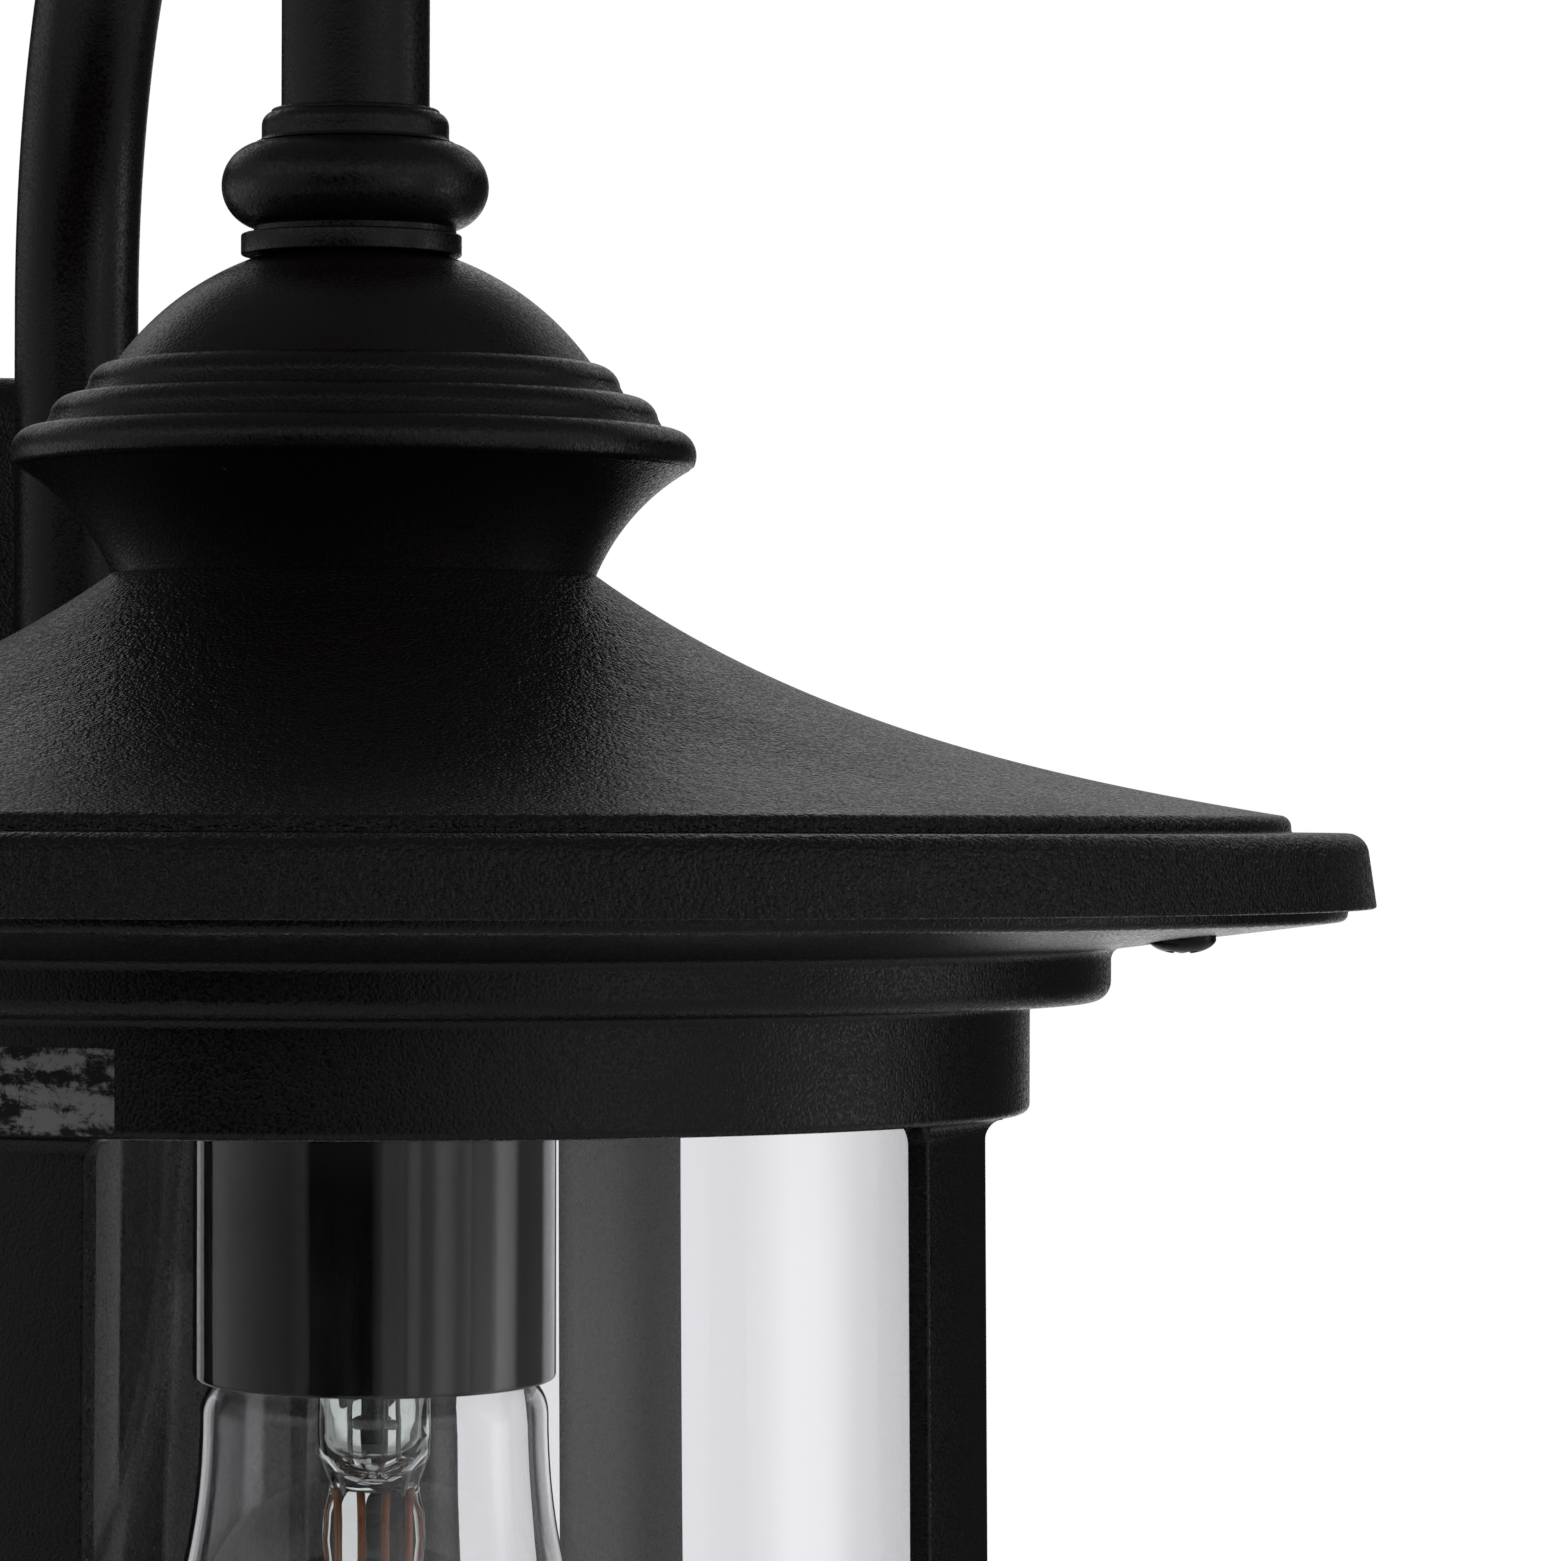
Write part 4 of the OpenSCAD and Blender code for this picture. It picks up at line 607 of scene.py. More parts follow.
def screw(spot):
    """Rings from the head's middle out and up the shank: the dome's height less a cross-shaped
    recess, whose depth falls off smoothly at the edge of the cross."""
    angle = all_round(96)
    radius = np.concatenate([np.linspace(0, 2.0, 15), np.linspace(2.15, HEAD_RADIUS, 12)])[:, None]
    dome = DOME_HEIGHT * np.sqrt(np.clip(1 - (radius / (HEAD_RADIUS + 0.12)) ** 2, 0, 1)) ** 0.9
    across = np.minimum(np.abs(radius * np.sin(angle)), np.abs(radius * np.cos(angle)))
    recess = RECESS_DEPTH / (1 + np.exp((across - RECESS_HALF) / 0.05))
    recess = recess / (1 + np.exp((radius - RECESS_REACH) / 0.06))
    height = head_seat_z - dome + recess
    rim = np.array([[HEAD_RADIUS, head_seat_z], [SCREW_RADIUS, head_seat_z],
                    [SCREW_RADIUS, head_seat_z + 8.5], [0, head_seat_z + 9]])
    radius = np.concatenate([radius + 0 * angle, rim[:, :1] + 0 * angle])
    height = np.concatenate([height, rim[:, 1:] + 0 * angle])
    return about(spot, radius, angle + SCREW_TURN, height)


screws = surface("dome_head_screws", *map(screw, screw_places), open_rows=True)
finish(screws, black_zinc, "screw_black", "cage_screws")

# Foil patch: the rest of a blank silver label on the glass ring, thin enough to follow the casting.
# Handling has rubbed and smudged it dark.
PATCH_AZIMUTHS, PATCH_HEIGHTS, PATCH_THICK = (-47.0, -32.1), (4.3, 12.9), 0.07
RUB_MM, SMEAR_MM = 2.2, 9.0


def foil_patch():
    """Sections across the patch at even azimuths. Each is a flat loop, front then back, that
    follows the ring's face and its lower round, with ends closed to a line."""
    azimuth = np.radians(np.linspace(*PATCH_AZIMUTHS, 41))[:, None]
    height = np.linspace(*PATCH_HEIGHTS, 21)
    low = np.clip(RING_Z + 1 - height, 0, 1)
    face = RING_RADIUS - 1 + np.sqrt(1 - low**2)
    bubble = 0.02 * np.sin(72 * azimuth) * np.sin(height * 1.3)
    outer, inner = face + PATCH_THICK + bubble, face + 0.01 + 0 * azimuth
    middle = (outer + inner) / 2
    outer[[0, -1]], inner[[0, -1]] = middle[[0, -1]], middle[[0, -1]]
    radius = np.concatenate([outer, inner[:, ::-1]], 1)
    level = np.concatenate([height, height[::-1]]) + 0 * radius
    return np.stack([radius * np.sin(azimuth), LANTERN_Y - radius * np.cos(azimuth), level], -1)


foil, tree, place = new_material("rubbed_aluminium_foil")
rub = add(tree, "TexNoise", {"Scale": 1000 / RUB_MM, "Detail": 8.0, "Roughness": 0.8,
                             "Distortion": 0.6}, place)
smear = add(tree, "Mapping", {"Scale": (1000 / SMEAR_MM, 1000 / SMEAR_MM, 1000 / RUB_MM)}, place)
band = add(tree, "TexNoise", {"Scale": 1.0, "Detail": 5.0, "Roughness": 0.6},
           {"Vector": (smear, "Vector")})
both = add(tree, "Math", {}, {0: (rub, "Fac"), 1: (band, "Fac")}, operation="ADD")
dark = add(tree, "MapRange", {"From Min": 0.93, "From Max": 1.06}, {"Value": (both, 0)})
tint = add(tree, "Mix", {"A": linear("#8F8F8E"), "B": linear("#161617")},
           {"Factor": (dark, "Result")}, data_type="RGBA")
gloss = add(tree, "MapRange", {"To Min": 0.42, "To Max": 0.7}, {"Value": (dark, "Result")})
crumple = add(tree, "Bump", {"Strength": 0.6, "Distance": 0.04 * MM}, {"Height": (both, 0)})
shader = add(tree, "BsdfPrincipled", {"Metallic": 0.35},
             {"Base Color": (tint, "Result"), "Roughness": (gloss, "Result"),
              "Normal": (crumple, "Normal")})
add(tree, "OutputMaterial", links={"Surface": (shader, "BSDF")})
patch = surface("blank_foil_patch", foil_patch(), open_rows=True)
finish(patch, foil, "clip_steel")

# Glass cylinder and its seals: a clear drawn soda-lime tube with fire-polished ends stands on a
# silicone ring and wears a silicone channel on top. Three spring clips hold it down.
GLASS_RADIUS, GLASS_WALL, GLASS_Z, GLASS_TOP = 67.5, 2.5, -122.05, 17.75
SEAL_PLAY, SEAL_THICK, SEAL_DEEP = 0.1, 1.0, 4.0
glass_middle = GLASS_RADIUS - GLASS_WALL / 2
half_wall = GLASS_WALL / 2
glass_profile = outline(
    arc((glass_middle, GLASS_TOP - half_wall), half_wall, 0, 180, 10),
    arc((glass_middle, GLASS_Z + half_wall), half_wall, 180, 360, 10),
)


def clear_glass(name, colour, wave_mm=60.0, wave_depth_mm=0.02):
    """Soda-lime glass: clear right through, with a fire-polished skin that waves very slowly."""
    made, tree, place = new_material(name)
    wave = add(tree, "TexNoise", {"Scale": 1000 / wave_mm, "Detail": 0.0}, place)
    bump = add(tree, "Bump", {"Distance": wave_depth_mm * MM}, {"Height": (wave, "Fac")})
    shader = add(tree, "BsdfPrincipled", {"Base Color": linear(colour), "IOR": 1.5,
                                          "Roughness": 0.0, "Transmission Weight": 1.0},
                 {"Normal": (bump, "Normal")})
    add(tree, "OutputMaterial", links={"Surface": (shader, "BSDF")})
    return made


cylinder = surface("clear_glass_cylinder", lathe(glass_profile, steps=384), crease=80)
finish(cylinder, clear_glass("drawn_soda_lime_glass", "#F4F4F6"), "clear_glass", "glass_cylinder")
silicone = moulded_plastic("moulded_silicone", "#C9C8C3", 0.55, 1.2, 0.02)
seal_outside = RING_INSIDE - SEAL_PLAY
base_seal_profile = [[seal_outside, GLASS_Z - SEAL_THICK], [seal_outside, GLASS_Z],
                     [LIP_RADIUS + 0.3, GLASS_Z], [LIP_RADIUS + 0.3, GLASS_Z - SEAL_THICK]]
base_seal = surface("silicone_base_seal", lathe(base_seal_profile))
finish(base_seal, silicone, "silicone", "glass_seal_base")
glass_inside = GLASS_RADIUS - GLASS_WALL
seal_low = GLASS_TOP - SEAL_DEEP
top_seal_profile = [
    [glass_inside - SEAL_THICK, seal_low], [glass_inside - SEAL_PLAY, seal_low],
    [glass_inside - SEAL_PLAY, GLASS_TOP], [GLASS_RADIUS + SEAL_PLAY, GLASS_TOP],
    [GLASS_RADIUS + SEAL_PLAY, seal_low], [seal_outside, seal_low], [seal_outside, SHELF_Z],
    [glass_inside - SEAL_THICK, SHELF_Z],
]
top_seal = surface("silicone_top_channel", lathe(top_seal_profile))
finish(top_seal, silicone, "silicone", "glass_seal_top")
paint(turned_metal("spring_steel_clip", "#A9AAA8", 0.32, (0.4, 9.0, 0.4)), "glass_clips")
paint(steel, "clip_screws")

# Lampholder: a folded steel bracket on the stem carries a two-part lampholder, a cap and a glossy
# black sleeve of moulded thermoplastic, round a ceramic core with a brass screw shell.
HOLDER_X, HOLDER_TOP, HOLDER_MOUTH, HOLDER_SEAM = 2.5, 32.05, -27.35, 19.75
SLEEVE_RADIUS, SLEEVE_WALL, HOOD_BORE = 19.7, 1.5, 4.0
THREAD_PITCH, THREAD_DEPTH = 3.629, 1.1
SHELL_RADIUS, SHELL_WALL, SHELL_LOW, SHELL_TOP = 13.4, 0.6, -23.85, 1.15
holder_at = (HOLDER_X, LANTERN_Y)
paint(turned_metal("galvanised_steel_bracket", "#AEB1B3", 0.4, (0.5, 14.0, 0.5)), "holder_bracket")
paint(steel, "holder_screws")
hood_inside, sleeve_inside = SLEEVE_RADIUS - 3, SLEEVE_RADIUS - SLEEVE_WALL
hood_profile = outline(
    [HOOD_BORE, HOLDER_TOP], [hood_inside, HOLDER_TOP],
    arc((hood_inside, HOLDER_TOP - 3), 3, 85, 0, 12),
    arc((SLEEVE_RADIUS - 0.25, HOLDER_SEAM + 0.25), 0.25, 0, -90, 3),
    [hood_inside, HOLDER_SEAM], [hood_inside, HOLDER_TOP - 4], [HOOD_BORE, HOLDER_TOP - 4],
)
sleeve_profile = outline(
    [sleeve_inside, HOLDER_MOUTH + 0.4], [sleeve_inside + 0.4, HOLDER_MOUTH],
    arc((SLEEVE_RADIUS - 0.4, HOLDER_MOUTH + 0.4), 0.4, -90, 0, 5),
    arc((SLEEVE_RADIUS - 0.25, HOLDER_SEAM - 0.25), 0.25, 0, 90, 3), [sleeve_inside, HOLDER_SEAM],
)
phenolic = moulded_plastic("glossy_moulded_thermoplastic", "#070606", 0.05, 14.0, 0.02, 1.63)
holder_cap = surface("lampholder_cap", lathe(hood_profile, holder_at, 160))
finish(holder_cap, phenolic, "holder_black", "holder_cap")
sleeve = surface("lampholder_sleeve", lathe(sleeve_profile, holder_at, 160))
finish(sleeve, phenolic, "holder_black", "holder_shroud")
paint(moulded_plastic("glazed_steatite", "#E4E0D4", 0.3, 2.0, 0.02), "holder_core")


def threaded(inside, wall, low, top, plain, fade):
    """Grids of a rolled thread's inside and outside: the radius swings by the thread's depth with a
    cosine whose phase climbs one pitch a turn. The thread fades out over fade before it reaches the
    plain lengths at the low and the top end."""
    angle, height = all_round(128), np.linspace(low, top, 71)[:, None]
    share = np.clip(np.minimum(height - low - plain[0], top - plain[1] - height) / fade, 0, 1)
    dip = share * THREAD_DEPTH / 2 * (1 - np.cos(2 * pi * height / THREAD_PITCH - angle))
    return (about(holder_at, radius - dip, angle, height) for radius in (inside, inside + wall))


brass = turned_metal("rolled_brass_shell", "#C6A45A", 0.28, (0.5, 0.5, 6.0))
shell_inside, shell_outside = threaded(SHELL_RADIUS, SHELL_WALL, SHELL_LOW, SHELL_TOP, (0, 0), 2.5)
shell = surface("threaded_screw_shell", np.concatenate([shell_inside, shell_outside[::-1]]))
finish(shell, brass, "shell_brass", "screw_shell")
paint(brass, "centre_contact")

# Bulb: a clear blown envelope with a screw cap of nickel-plated brass, a black glass insulator and
# a soldered tip. Inside it a glass stem ends in a squeezed seal that holds the filaments' wires.
BULB_RIM, BULB_LENGTH, BULB_RADIUS, BULB_NECK, BULB_WALL = -24.75, 81.5, 30.0, 18.9, 0.45
CAP_RADIUS, CAP_WALL, CAP_HEIGHT, INSULATOR_RADIUS, TIP_RADIUS = 13.1, 0.35, 19.0, 9.4, 4.7
ball = (0.0, BULB_RADIUS - BULB_LENGTH)
neck = (BULB_NECK, -6.2)
envelope = outline(
    bezier((CAP_RADIUS + 0.6, 0), (CAP_RADIUS + 1.0, -2.6), (BULB_NECK - 0.2, -2.0), neck, 24),
    bezier(neck, (BULB_NECK, -0.36 * BULB_LENGTH), (BULB_RADIUS - 1, -0.44 * BULB_LENGTH),
           (BULB_RADIUS, ball[1]), 40)[1:],
    arc(ball, BULB_RADIUS, 0, -90, 40)[1:],
)
inside = envelope[(envelope[:, 1] > ball[1] + 0.5) & (envelope[:, 1] < -2.0)][::-1] - [BULB_WALL, 0]
envelope_profile = outline(
    [CAP_RADIUS - 1.7, 4], [CAP_RADIUS - 1.2, 4], [CAP_RADIUS - 1.0, 0.4], envelope,
    arc(ball, BULB_RADIUS - BULB_WALL, -90, 0, 40), inside,
    [CAP_RADIUS - 0.9, -1.2], [CAP_RADIUS - 1.7, 0.6],
) + [0, BULB_RIM]
bulb = surface("blown_bulb_envelope", lathe(envelope_profile, holder_at, 192), crease=80)
bulb_glass = clear_glass("blown_bulb_glass", "#FFFFFF", 9.0, 0.06)
finish(bulb, bulb_glass, "bulb_clear", "bulb_glass", body="bulb")

# Stem: rows of (height above the rim, half width, half depth), outside down and inside back up
stem_rows = np.array([
    [4.0, 11.4, 11.4], [3.0, 11.4, 11.4], [1.6, 7.8, 7.8], [0.2, 6.3, 6.3], [-1.0, 6.1, 6.1],
    [-8.5, 6.1, 6.1], [-10.5, 6.0, 5.7], [-12.0, 5.4, 4.6], [-13.2, 4.9, 3.3], [-14.5, 5.0, 2.6],
    [-16.5, 5.5, 2.3], [-19.0, 5.6, 2.2], [-24.0, 5.0, 2.1], [-30.0, 3.6, 1.9], [-34.5, 2.4, 1.6],
    [-36.0, 0.0, 0.0], [-12.6, 0.0, 0.0], [-12.2, 1.6, 1.2], [-11.2, 3.2, 2.6], [-10.0, 4.4, 4.0],
    [-8.5, 5.0, 5.0], [-1.0, 5.1, 5.1], [0.2, 5.3, 5.3], [1.9, 6.9, 6.9], [3.4, 10.2, 10.2],
    [4.0, 10.6, 10.6],
])
STEM_TURN = radians(-17.3)


def in_bulb(points):
    """Points given as (wide, deep, height above the rim) in the stem's own directions."""
    wide, deep, height = np.moveaxis(np.asarray(points, float), -1, 0)
    return np.stack([HOLDER_X + wide * cos(STEM_TURN) - deep * sin(STEM_TURN),
                     LANTERN_Y + wide * sin(STEM_TURN) + deep * cos(STEM_TURN),
                     BULB_RIM + height], -1)


angle = all_round(96)
level, half_wide, half_deep = stem_rows.T[:, :, None]
wide, deep = half_wide * np.cos(angle), half_deep * np.sin(angle)
stem_grid = in_bulb(np.stack([wide, deep, level + 0 * angle], -1))
stem = surface("squeezed_glass_stem", stem_grid, crease=85)
stem_glass = clear_glass("lead_glass_stem", "#F6FBF7", 2.5, 0.12)
finish(stem, stem_glass, "stem_clear", "bulb_stem", body="bulb")


def capped_rod(points, radius):
    """Grid of a round rod along points, with ends that close in a quarter circle."""
    path = in_bulb(points)
    quarter = np.linspace(0, pi / 2, 6)
    close, lead = np.sin(quarter), radius * np.cos(quarter)[:, None]
    first, last = (end / np.linalg.norm(end) for end in (path[0] - path[1], path[-1] - path[-2]))
    path = np.concatenate([path[0] + lead * first - radius * first, path[1:-1],
                           path[-1] + lead[::-1] * last - radius * last])
    radii = radius * np.concatenate([close, np.ones(len(points) - 2), close[::-1]])
    return sweep(path, radii, (0.31, 0.95, 0.05), 16)


FILAMENT_RADIUS, FILAMENT_COUNT, FILAMENT_TURN, WIRE_RADIUS, SEAL_Z = 1.1, 4, 0.65, 0.28, -18.0
# Distance from the axis and height above the rim of the filaments' two ends
(TOP_REACH, TOP_Z), (LOW_REACH, LOW_Z) = (4.4, -31.0), (9.5, -58.0)
sticks, supports, seals = [], [], []
for count in range(FILAMENT_COUNT):
    spin = 2 * pi * count / FILAMENT_COUNT + FILAMENT_TURN
    outwards = np.array([cos(spin), sin(spin)])
    top = np.array([*(TOP_REACH * outwards), TOP_Z])
    low = np.array([*(LOW_REACH * outwards), LOW_Z])
    sticks.append(capped_rod(np.linspace(top, low, 5), FILAMENT_RADIUS))
    foot = np.array([2.4 * (count - 1.5), 0, SEAL_Z])
    bent = [foot, foot + [0, 0, -7], top + [0, 0, 1.6], top + (low - top) * 0.06]
    supports.append(capped_rod(bent, WIRE_RADIUS))
    seals.append(capped_rod([foot + [0, 0, 4.5], foot + [0, 0, 1], foot + [0, 0, -3.5]], 0.42))
for side in (-1, 1):
    lead_in = [[2.6 * side, 0, 4], [2.6 * side, 0, -6], [2.9 * side, 0, -13.2],
               [3.0 * side, 0, -14.5]]
    supports.append(capped_rod(lead_in, 0.32))
supports.append(capped_rod([[-2.4, -0.6, -7.9], [0, -0.6, -7.9], [2.6, -0.6, -7.9]], 0.45))
ring_path = in_bulb(about((0, 0), LOW_REACH, np.linspace(0, 2 * pi, 65), LOW_Z))
supports.append(sweep(ring_path, 0.4, (0, 0, 1), 12))
sticks = surface("phosphor_filament_sticks", *sticks, open_rows=True)
phosphor = moulded_plastic("yellow_silicone_phosphor", "#E3B23C", 0.5, 0.8, 0.03)
finish(sticks, phosphor, "filament", "bulb_filaments", body="bulb")
supports = surface("nickel_support_wires", *supports, open_rows=True)
nickel = turned_metal("drawn_nickel_wire", "#C9C8C4", 0.25)
finish(supports, nickel, "filament", body="bulb")
seals = surface("copper_seal_wires", *seals, open_rows=True)
finish(seals, turned_metal("copper_clad_seal_wire", "#C0764A", 0.3), "filament", body="bulb")
tube_path = in_bulb([[0, 0, height] for height in np.linspace(-12.4, 3.5, 12)])
exhaust = surface("exhaust_tube", np.concatenate([sweep(tube_path, 1.5, (1, 0, 0), 40),
                                                  sweep(tube_path, 1.0, (1, 0, 0), 40)[::-1]]))
finish(exhaust, bulb_glass, "stem_clear", body="bulb")

cap_top = BULB_RIM + CAP_HEIGHT
cap_inside, cap_outside = threaded(CAP_RADIUS - CAP_WALL, CAP_WALL, BULB_RIM, cap_top - 1.5,
                                   (0.4, 0.7), 2.0)
shoulder_profile = [[CAP_RADIUS - 1.7, cap_top], [INSULATOR_RADIUS, cap_top],
                    [INSULATOR_RADIUS, cap_top - 0.6], [CAP_RADIUS - 1.9, cap_top - 0.6]]
shoulder = lathe(shoulder_profile, holder_at, 128)
bulb_cap = surface("threaded_bulb_cap", np.concatenate([cap_outside, shoulder, cap_inside[::-1]]))
cap_metal = turned_metal("nickel_plated_brass_cap", "#BEBDB8", 0.25, (0.5, 0.5, 5.0))
finish(bulb_cap, cap_metal, "cap_nickel", "bulb_cap", body="bulb")
insulator_sweep = bezier((INSULATOR_RADIUS, 0), (INSULATOR_RADIUS - 0.4, 1.6),
                         (TIP_RADIUS + 3, 3.0), (TIP_RADIUS + 0.8, 4.6), 10)
insulator_profile = outline([0, -1.6], [INSULATOR_RADIUS, -1.6], insulator_sweep,
                            [0, 4.6]) + [0, cap_top]
insulator = surface("black_glass_insulator", lathe(insulator_profile, holder_at, 96),
                    open_rows=True)
black_glass = moulded_plastic("pressed_black_glass", "#0C0B10", 0.15, 3.0, 0.03)
finish(insulator, black_glass, "insulator_black", "bulb_insulator", body="bulb")
paint(turned_metal("soldered_tip", "#A9ABA6", 0.4, (1.5, 1.5, 1.5), depth_mm=0.1), "bulb_tip")

# Stage: a pale round paper floor well below the lantern, which fades to white at its edge. It keeps
# the lantern's shadow. In reflections it glows: white in a strip far behind the lantern, and a
# quarter as bright everywhere else.
FLOOR_Y, FLOOR_Z, FLOOR_RADIUS = -0.2, -0.45, 1.1
floor_rings = np.linspace(0, FLOOR_RADIUS, 5)[:, None]
floor_grid = about((0, FLOOR_Y), floor_rings, all_round(64), FLOOR_Z) / MM
floor = surface("floor", floor_grid, open_rows=True)
if floor.data.polygons[0].normal.z < 0:
    floor.data.flip_normals()
pale, tree, place = new_material("pale_paper_floor")
far = add(tree, "VectorMath", {1: (0, FLOOR_Y, FLOOR_Z)}, {0: place["Vector"]},
          operation="DISTANCE")
fade = add(tree, "MapRange", {"From Min": 0.35, "From Max": 1.0}, {"Value": (far, "Value")},
           interpolation_type="SMOOTHSTEP")
rays = add(tree, "LightPath")
pale_fade = add(tree, "MapRange", {"To Min": 0.7, "To Max": 1.0}, {"Value": (fade, "Result")})
seen = add(tree, "Math", links={0: (pale_fade, "Result"), 1: (rays, "Is Camera Ray")},
           operation="MULTIPLY")
deep = add(tree, "VectorMath", {1: tuple(ahead)}, {0: place["Vector"]}, operation="DOT_PRODUCT")
aside = add(tree, "VectorMath", {1: tuple(right)}, {0: place["Vector"]}, operation="DOT_PRODUCT")
aside = add(tree, "Math", links={0: (aside, "Value")}, operation="ABSOLUTE")
rear = add(tree, "MapRange", {"From Min": 0.45, "From Max": 0.8}, {"Value": (deep, "Value")})
inner = add(tree, "MapRange", {"From Min": 0.42, "From Max": 0.22}, {"Value": (aside, 0)})
strip = add(tree, "Math", links={0: (rear, "Result"), 1: (inner, "Result")}, operation="MULTIPLY")
# The whole floor glows at least a quarter white in reflections, and the strip glows fully
strip = add(tree, "Math", {1: 0.25}, {0: (strip, 0)}, operation="MAXIMUM")
shines = add(tree, "Math", links={0: (strip, 0), 1: (rays, "Is Glossy Ray")}, operation="MULTIPLY")
shown = add(tree, "Math", links={0: (seen, 0), 1: (shines, 0)}, operation="MAXIMUM")
paper = add(tree, "BsdfPrincipled", {"Base Color": linear("#E9E9E8"), "Roughness": 0.8})
white = add(tree, "Emission", {"Color": (1, 1, 1, 1)})
blend = add(tree, "MixShader", links={0: (shown, 0), 1: (paper, "BSDF"), 2: (white, 0)})
below = add(tree, "NewGeometry")
clear = add(tree, "BsdfTransparent")
both = add(tree, "MixShader", links={0: (below, "Backfacing"), 1: (blend, 0), 2: (clear, 0)})
add(tree, "OutputMaterial", links={"Surface": (both, 0)})
floor.data.materials.append(pale)

# Studio: each light is a brightness by azimuth times one by elevation, in degrees. Azimuth starts
# at the camera's side and grows to the picture's right. The first is a room with a dark camera
# corner, narrow panels in front, grey walls and tall soft panels, all in a band at eye level.
ROOM_SIDES = [
    (-180, 0.02), (-138, 0.03), (-136, 0.8), (-130, 0.3), (-112, 0.65), (-104, 0.65), (-84, 0.5),
    (-70, 0.36), (-52, 0.26), (-42, 0.36), (-38, 0.08), (-28, 0.01), (7, 0.01), (9, 0.24),
    (18, 0.2), (20, 0.37), (23, 0.13), (26, 0.65), (31, 0.65), (33, 0.26), (40, 0.33), (44, 0.87),
    (52, 0.8), (56, 0.55), (58, 0.4), (68, 0.4), (70, 0.28), (84, 0.28), (89, 1.5), (101, 1.2),
    (107, 0.05), (180, 0.02),
]
ROOM_RISE = [(-90, 0.02), (-30, 0.05), (-17, 1), (0, 1), (6, 0.4), (18, 0.2), (40, 0.1), (90, 0.08)]
# A soft light above the camera reaches round the front
FILL_SIDES = [(-180, 0), (-106, 0), (-78, 1), (78, 1), (106, 0), (180, 0)]
FILL_RISE = [(-90, 0), (3, 0), (10, 0.4), (14, 0.46), (26, 0.42), (36, 0.04), (90, 0)]
# Two soft lights stand high at the sides of the lantern, a little behind it
HIGH_SIDES = [(-180, 0.15), (-166, 0.15), (-156, 0.65), (-142, 0.6), (-130, 0.15), (-100, 0.12),
              (130, 0.12), (142, 0.5), (156, 0.6), (166, 0.15), (180, 0.15)]
HIGH_RISE = [(-90, 0), (14, 0), (19, 0.9), (32, 0.9), (38, 0.08), (70, 0.05), (90, 0)]
# The ceiling is the same all round
CEILING_RISE = [(-90, 0), (28, 0), (40, 0.05), (90, 0.08)]
# The part of the white backdrop that shines in the coats, from straight behind
BACKDROP_SIDES = [(-180, 1), (-170, 1), (-164, 0.2), (-156, 0), (156, 0), (164, 0.2), (170, 1),
                  (180, 1)]
BACKDROP_RISE = [(-90, 0), (-50, 0.1), (-25, 1), (-6, 1), (1, 0.4), (10, 0.4), (18, 0.8),
                 (28, 0.62), (36, 0.36), (48, 0.08), (90, 0)]
world = bpy.data.worlds.new("studio")
bpy.context.scene.world = world
world.use_nodes = True
tree = world.node_tree
tree.nodes.clear()
place = add(tree, "TexCoord")
sideways, towards = (add(tree, "VectorMath", {1: tuple(way)}, {0: (place, "Generated")},
                         operation="DOT_PRODUCT") for way in (right, -ahead))
azimuth = add(tree, "Math", links={0: (sideways, "Value"), 1: (towards, "Value")},
              operation="ARCTAN2")
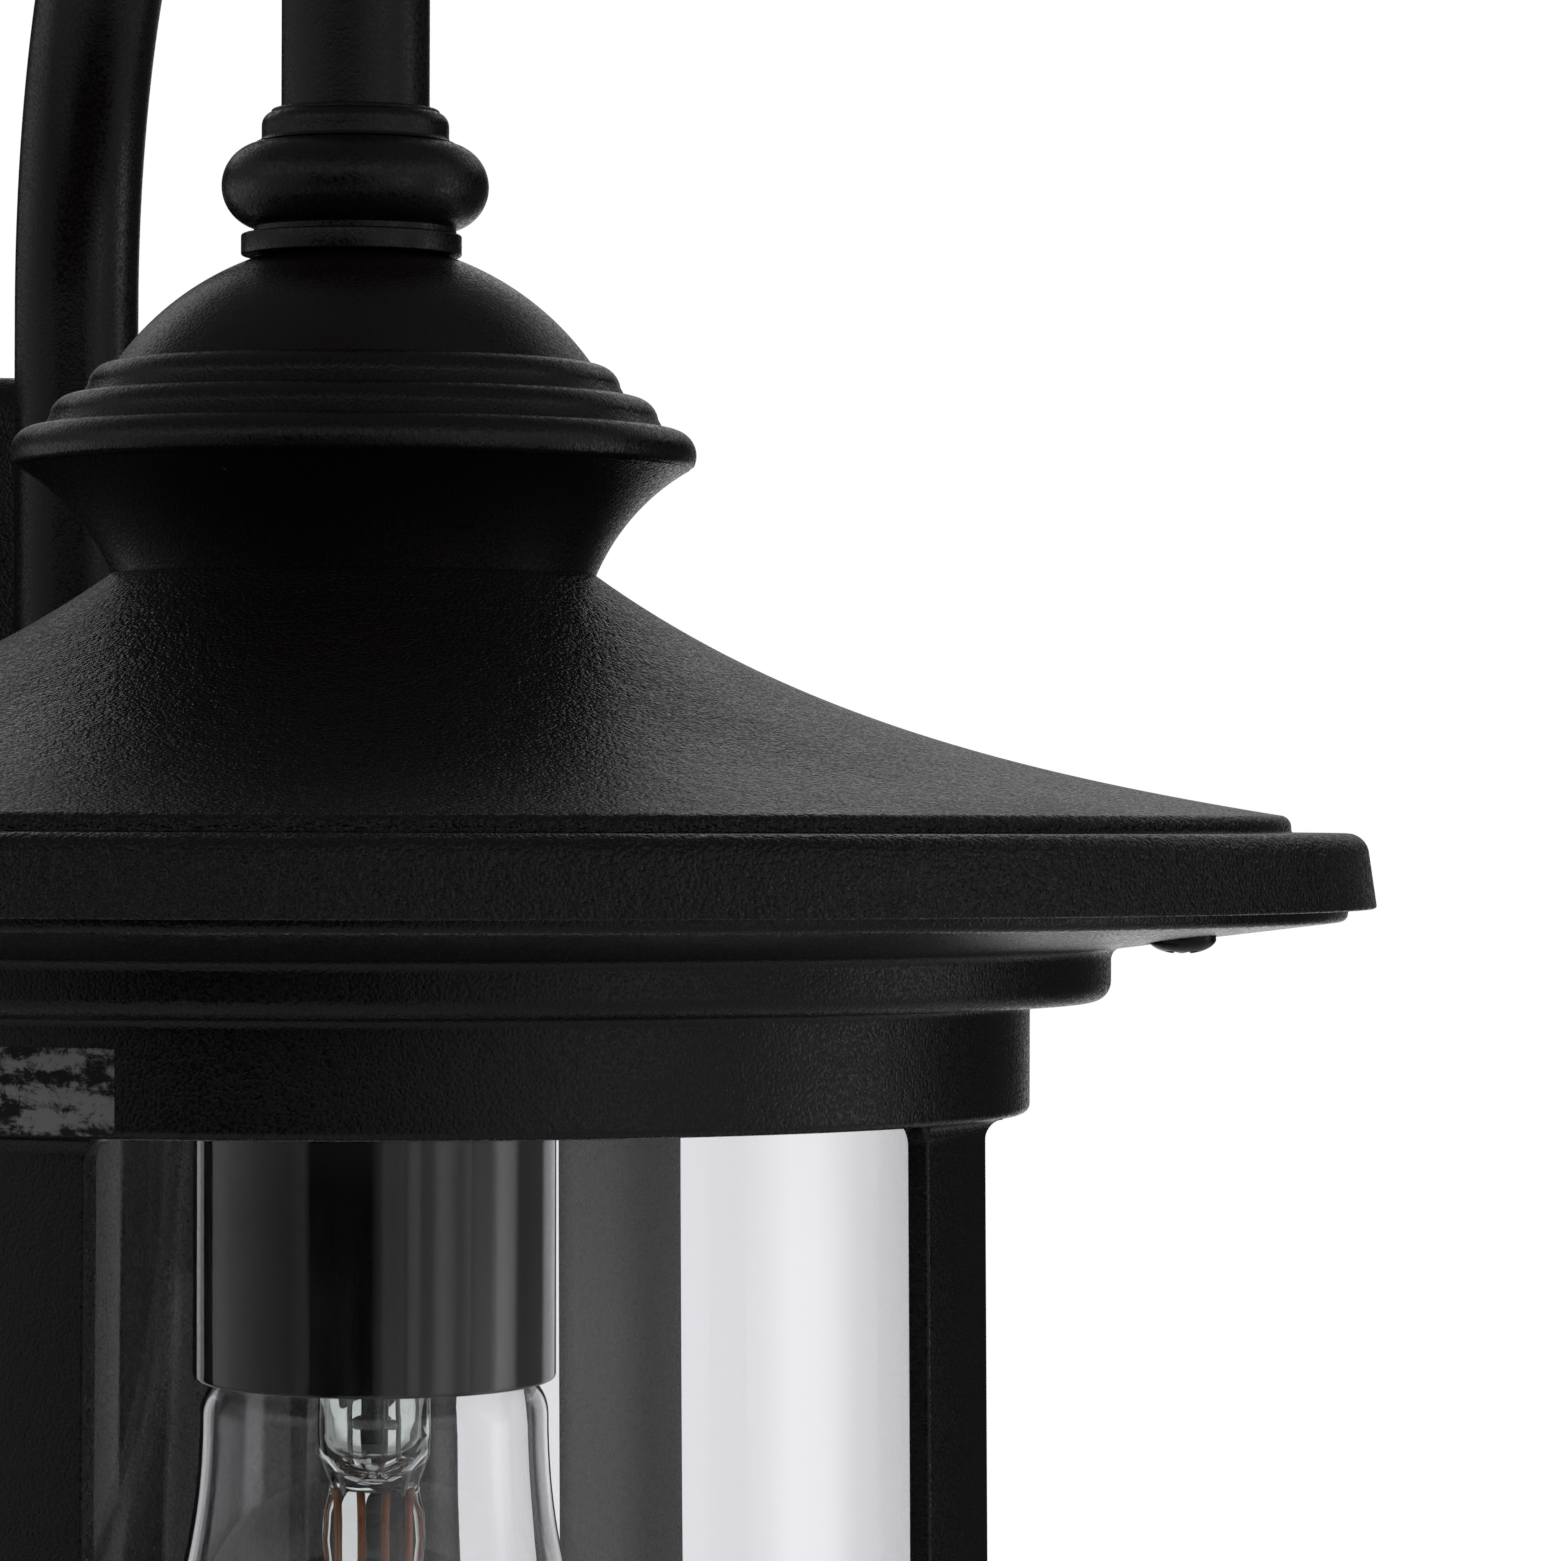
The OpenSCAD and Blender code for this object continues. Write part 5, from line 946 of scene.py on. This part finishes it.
upward = add(tree, "SeparateXYZ", links={"Vector": (place, "Generated")})
elevation = add(tree, "Math", links={0: (upward, "Z")}, operation="ARCSINE")


def brightness(stops, source, span):
    """Grey by an angle between minus span and plus span, in degrees, in straight lines from stop to
    stop."""
    share = add(tree, "MapRange", {"From Min": -radians(span), "From Max": radians(span)},
                {"Value": (source, 0)})
    ramp = add(tree, "ValToRGB", links={"Fac": (share, "Result")})
    marks = ramp.color_ramp.elements
    marks[0].color, marks[1].color = ((grey, grey, grey, 1) for _, grey in (stops[0], stops[-1]))
    for angle, grey in stops[1:-1]:
        marks.new((angle + span) / (2 * span)).color = (grey, grey, grey, 1)
    return ramp, "Color"


studio = brightness(CEILING_RISE, elevation, 90)
for sides, rise in ((ROOM_SIDES, ROOM_RISE), (FILL_SIDES, FILL_RISE), (HIGH_SIDES, HIGH_RISE)):
    links = {0: brightness(sides, azimuth, 180), 1: brightness(rise, elevation, 90), 2: studio}
    studio = add(tree, "Math", links=links, operation="MULTIPLY_ADD"), "Value"
# The white backdrop is what the camera sees everywhere, what glass lets through behind the lantern,
# and what every surface reflects from straight behind it
links = {0: brightness(BACKDROP_SIDES, azimuth, 180), 1: brightness(BACKDROP_RISE, elevation, 90)}
straight = add(tree, "Math", links=links, operation="MULTIPLY")
rays = add(tree, "LightPath")
behind = add(tree, "MapRange", {"From Min": -0.7, "From Max": -0.78}, {"Value": (towards, "Value")})
through = add(tree, "Math", links={0: (rays, "Is Transmission Ray"), 1: (behind, "Result")},
              operation="MULTIPLY")
backdrop = add(tree, "Math", links={0: (through, 0), 1: (straight, 0)}, operation="MAXIMUM")
seen = add(tree, "Math", links={0: (rays, "Is Camera Ray"), 1: (backdrop, 0)}, operation="MAXIMUM")
view = add(tree, "Mix", {"B": (1, 1, 1, 1)}, {"Factor": (seen, 0), "A": studio}, data_type="RGBA")
sky = add(tree, "Background", {"Strength": 1.0}, {"Color": (view, "Result")})
add(tree, "OutputWorld", links={"Surface": (sky, 0)})

bpy.context.scene.view_settings.view_transform = "Standard"
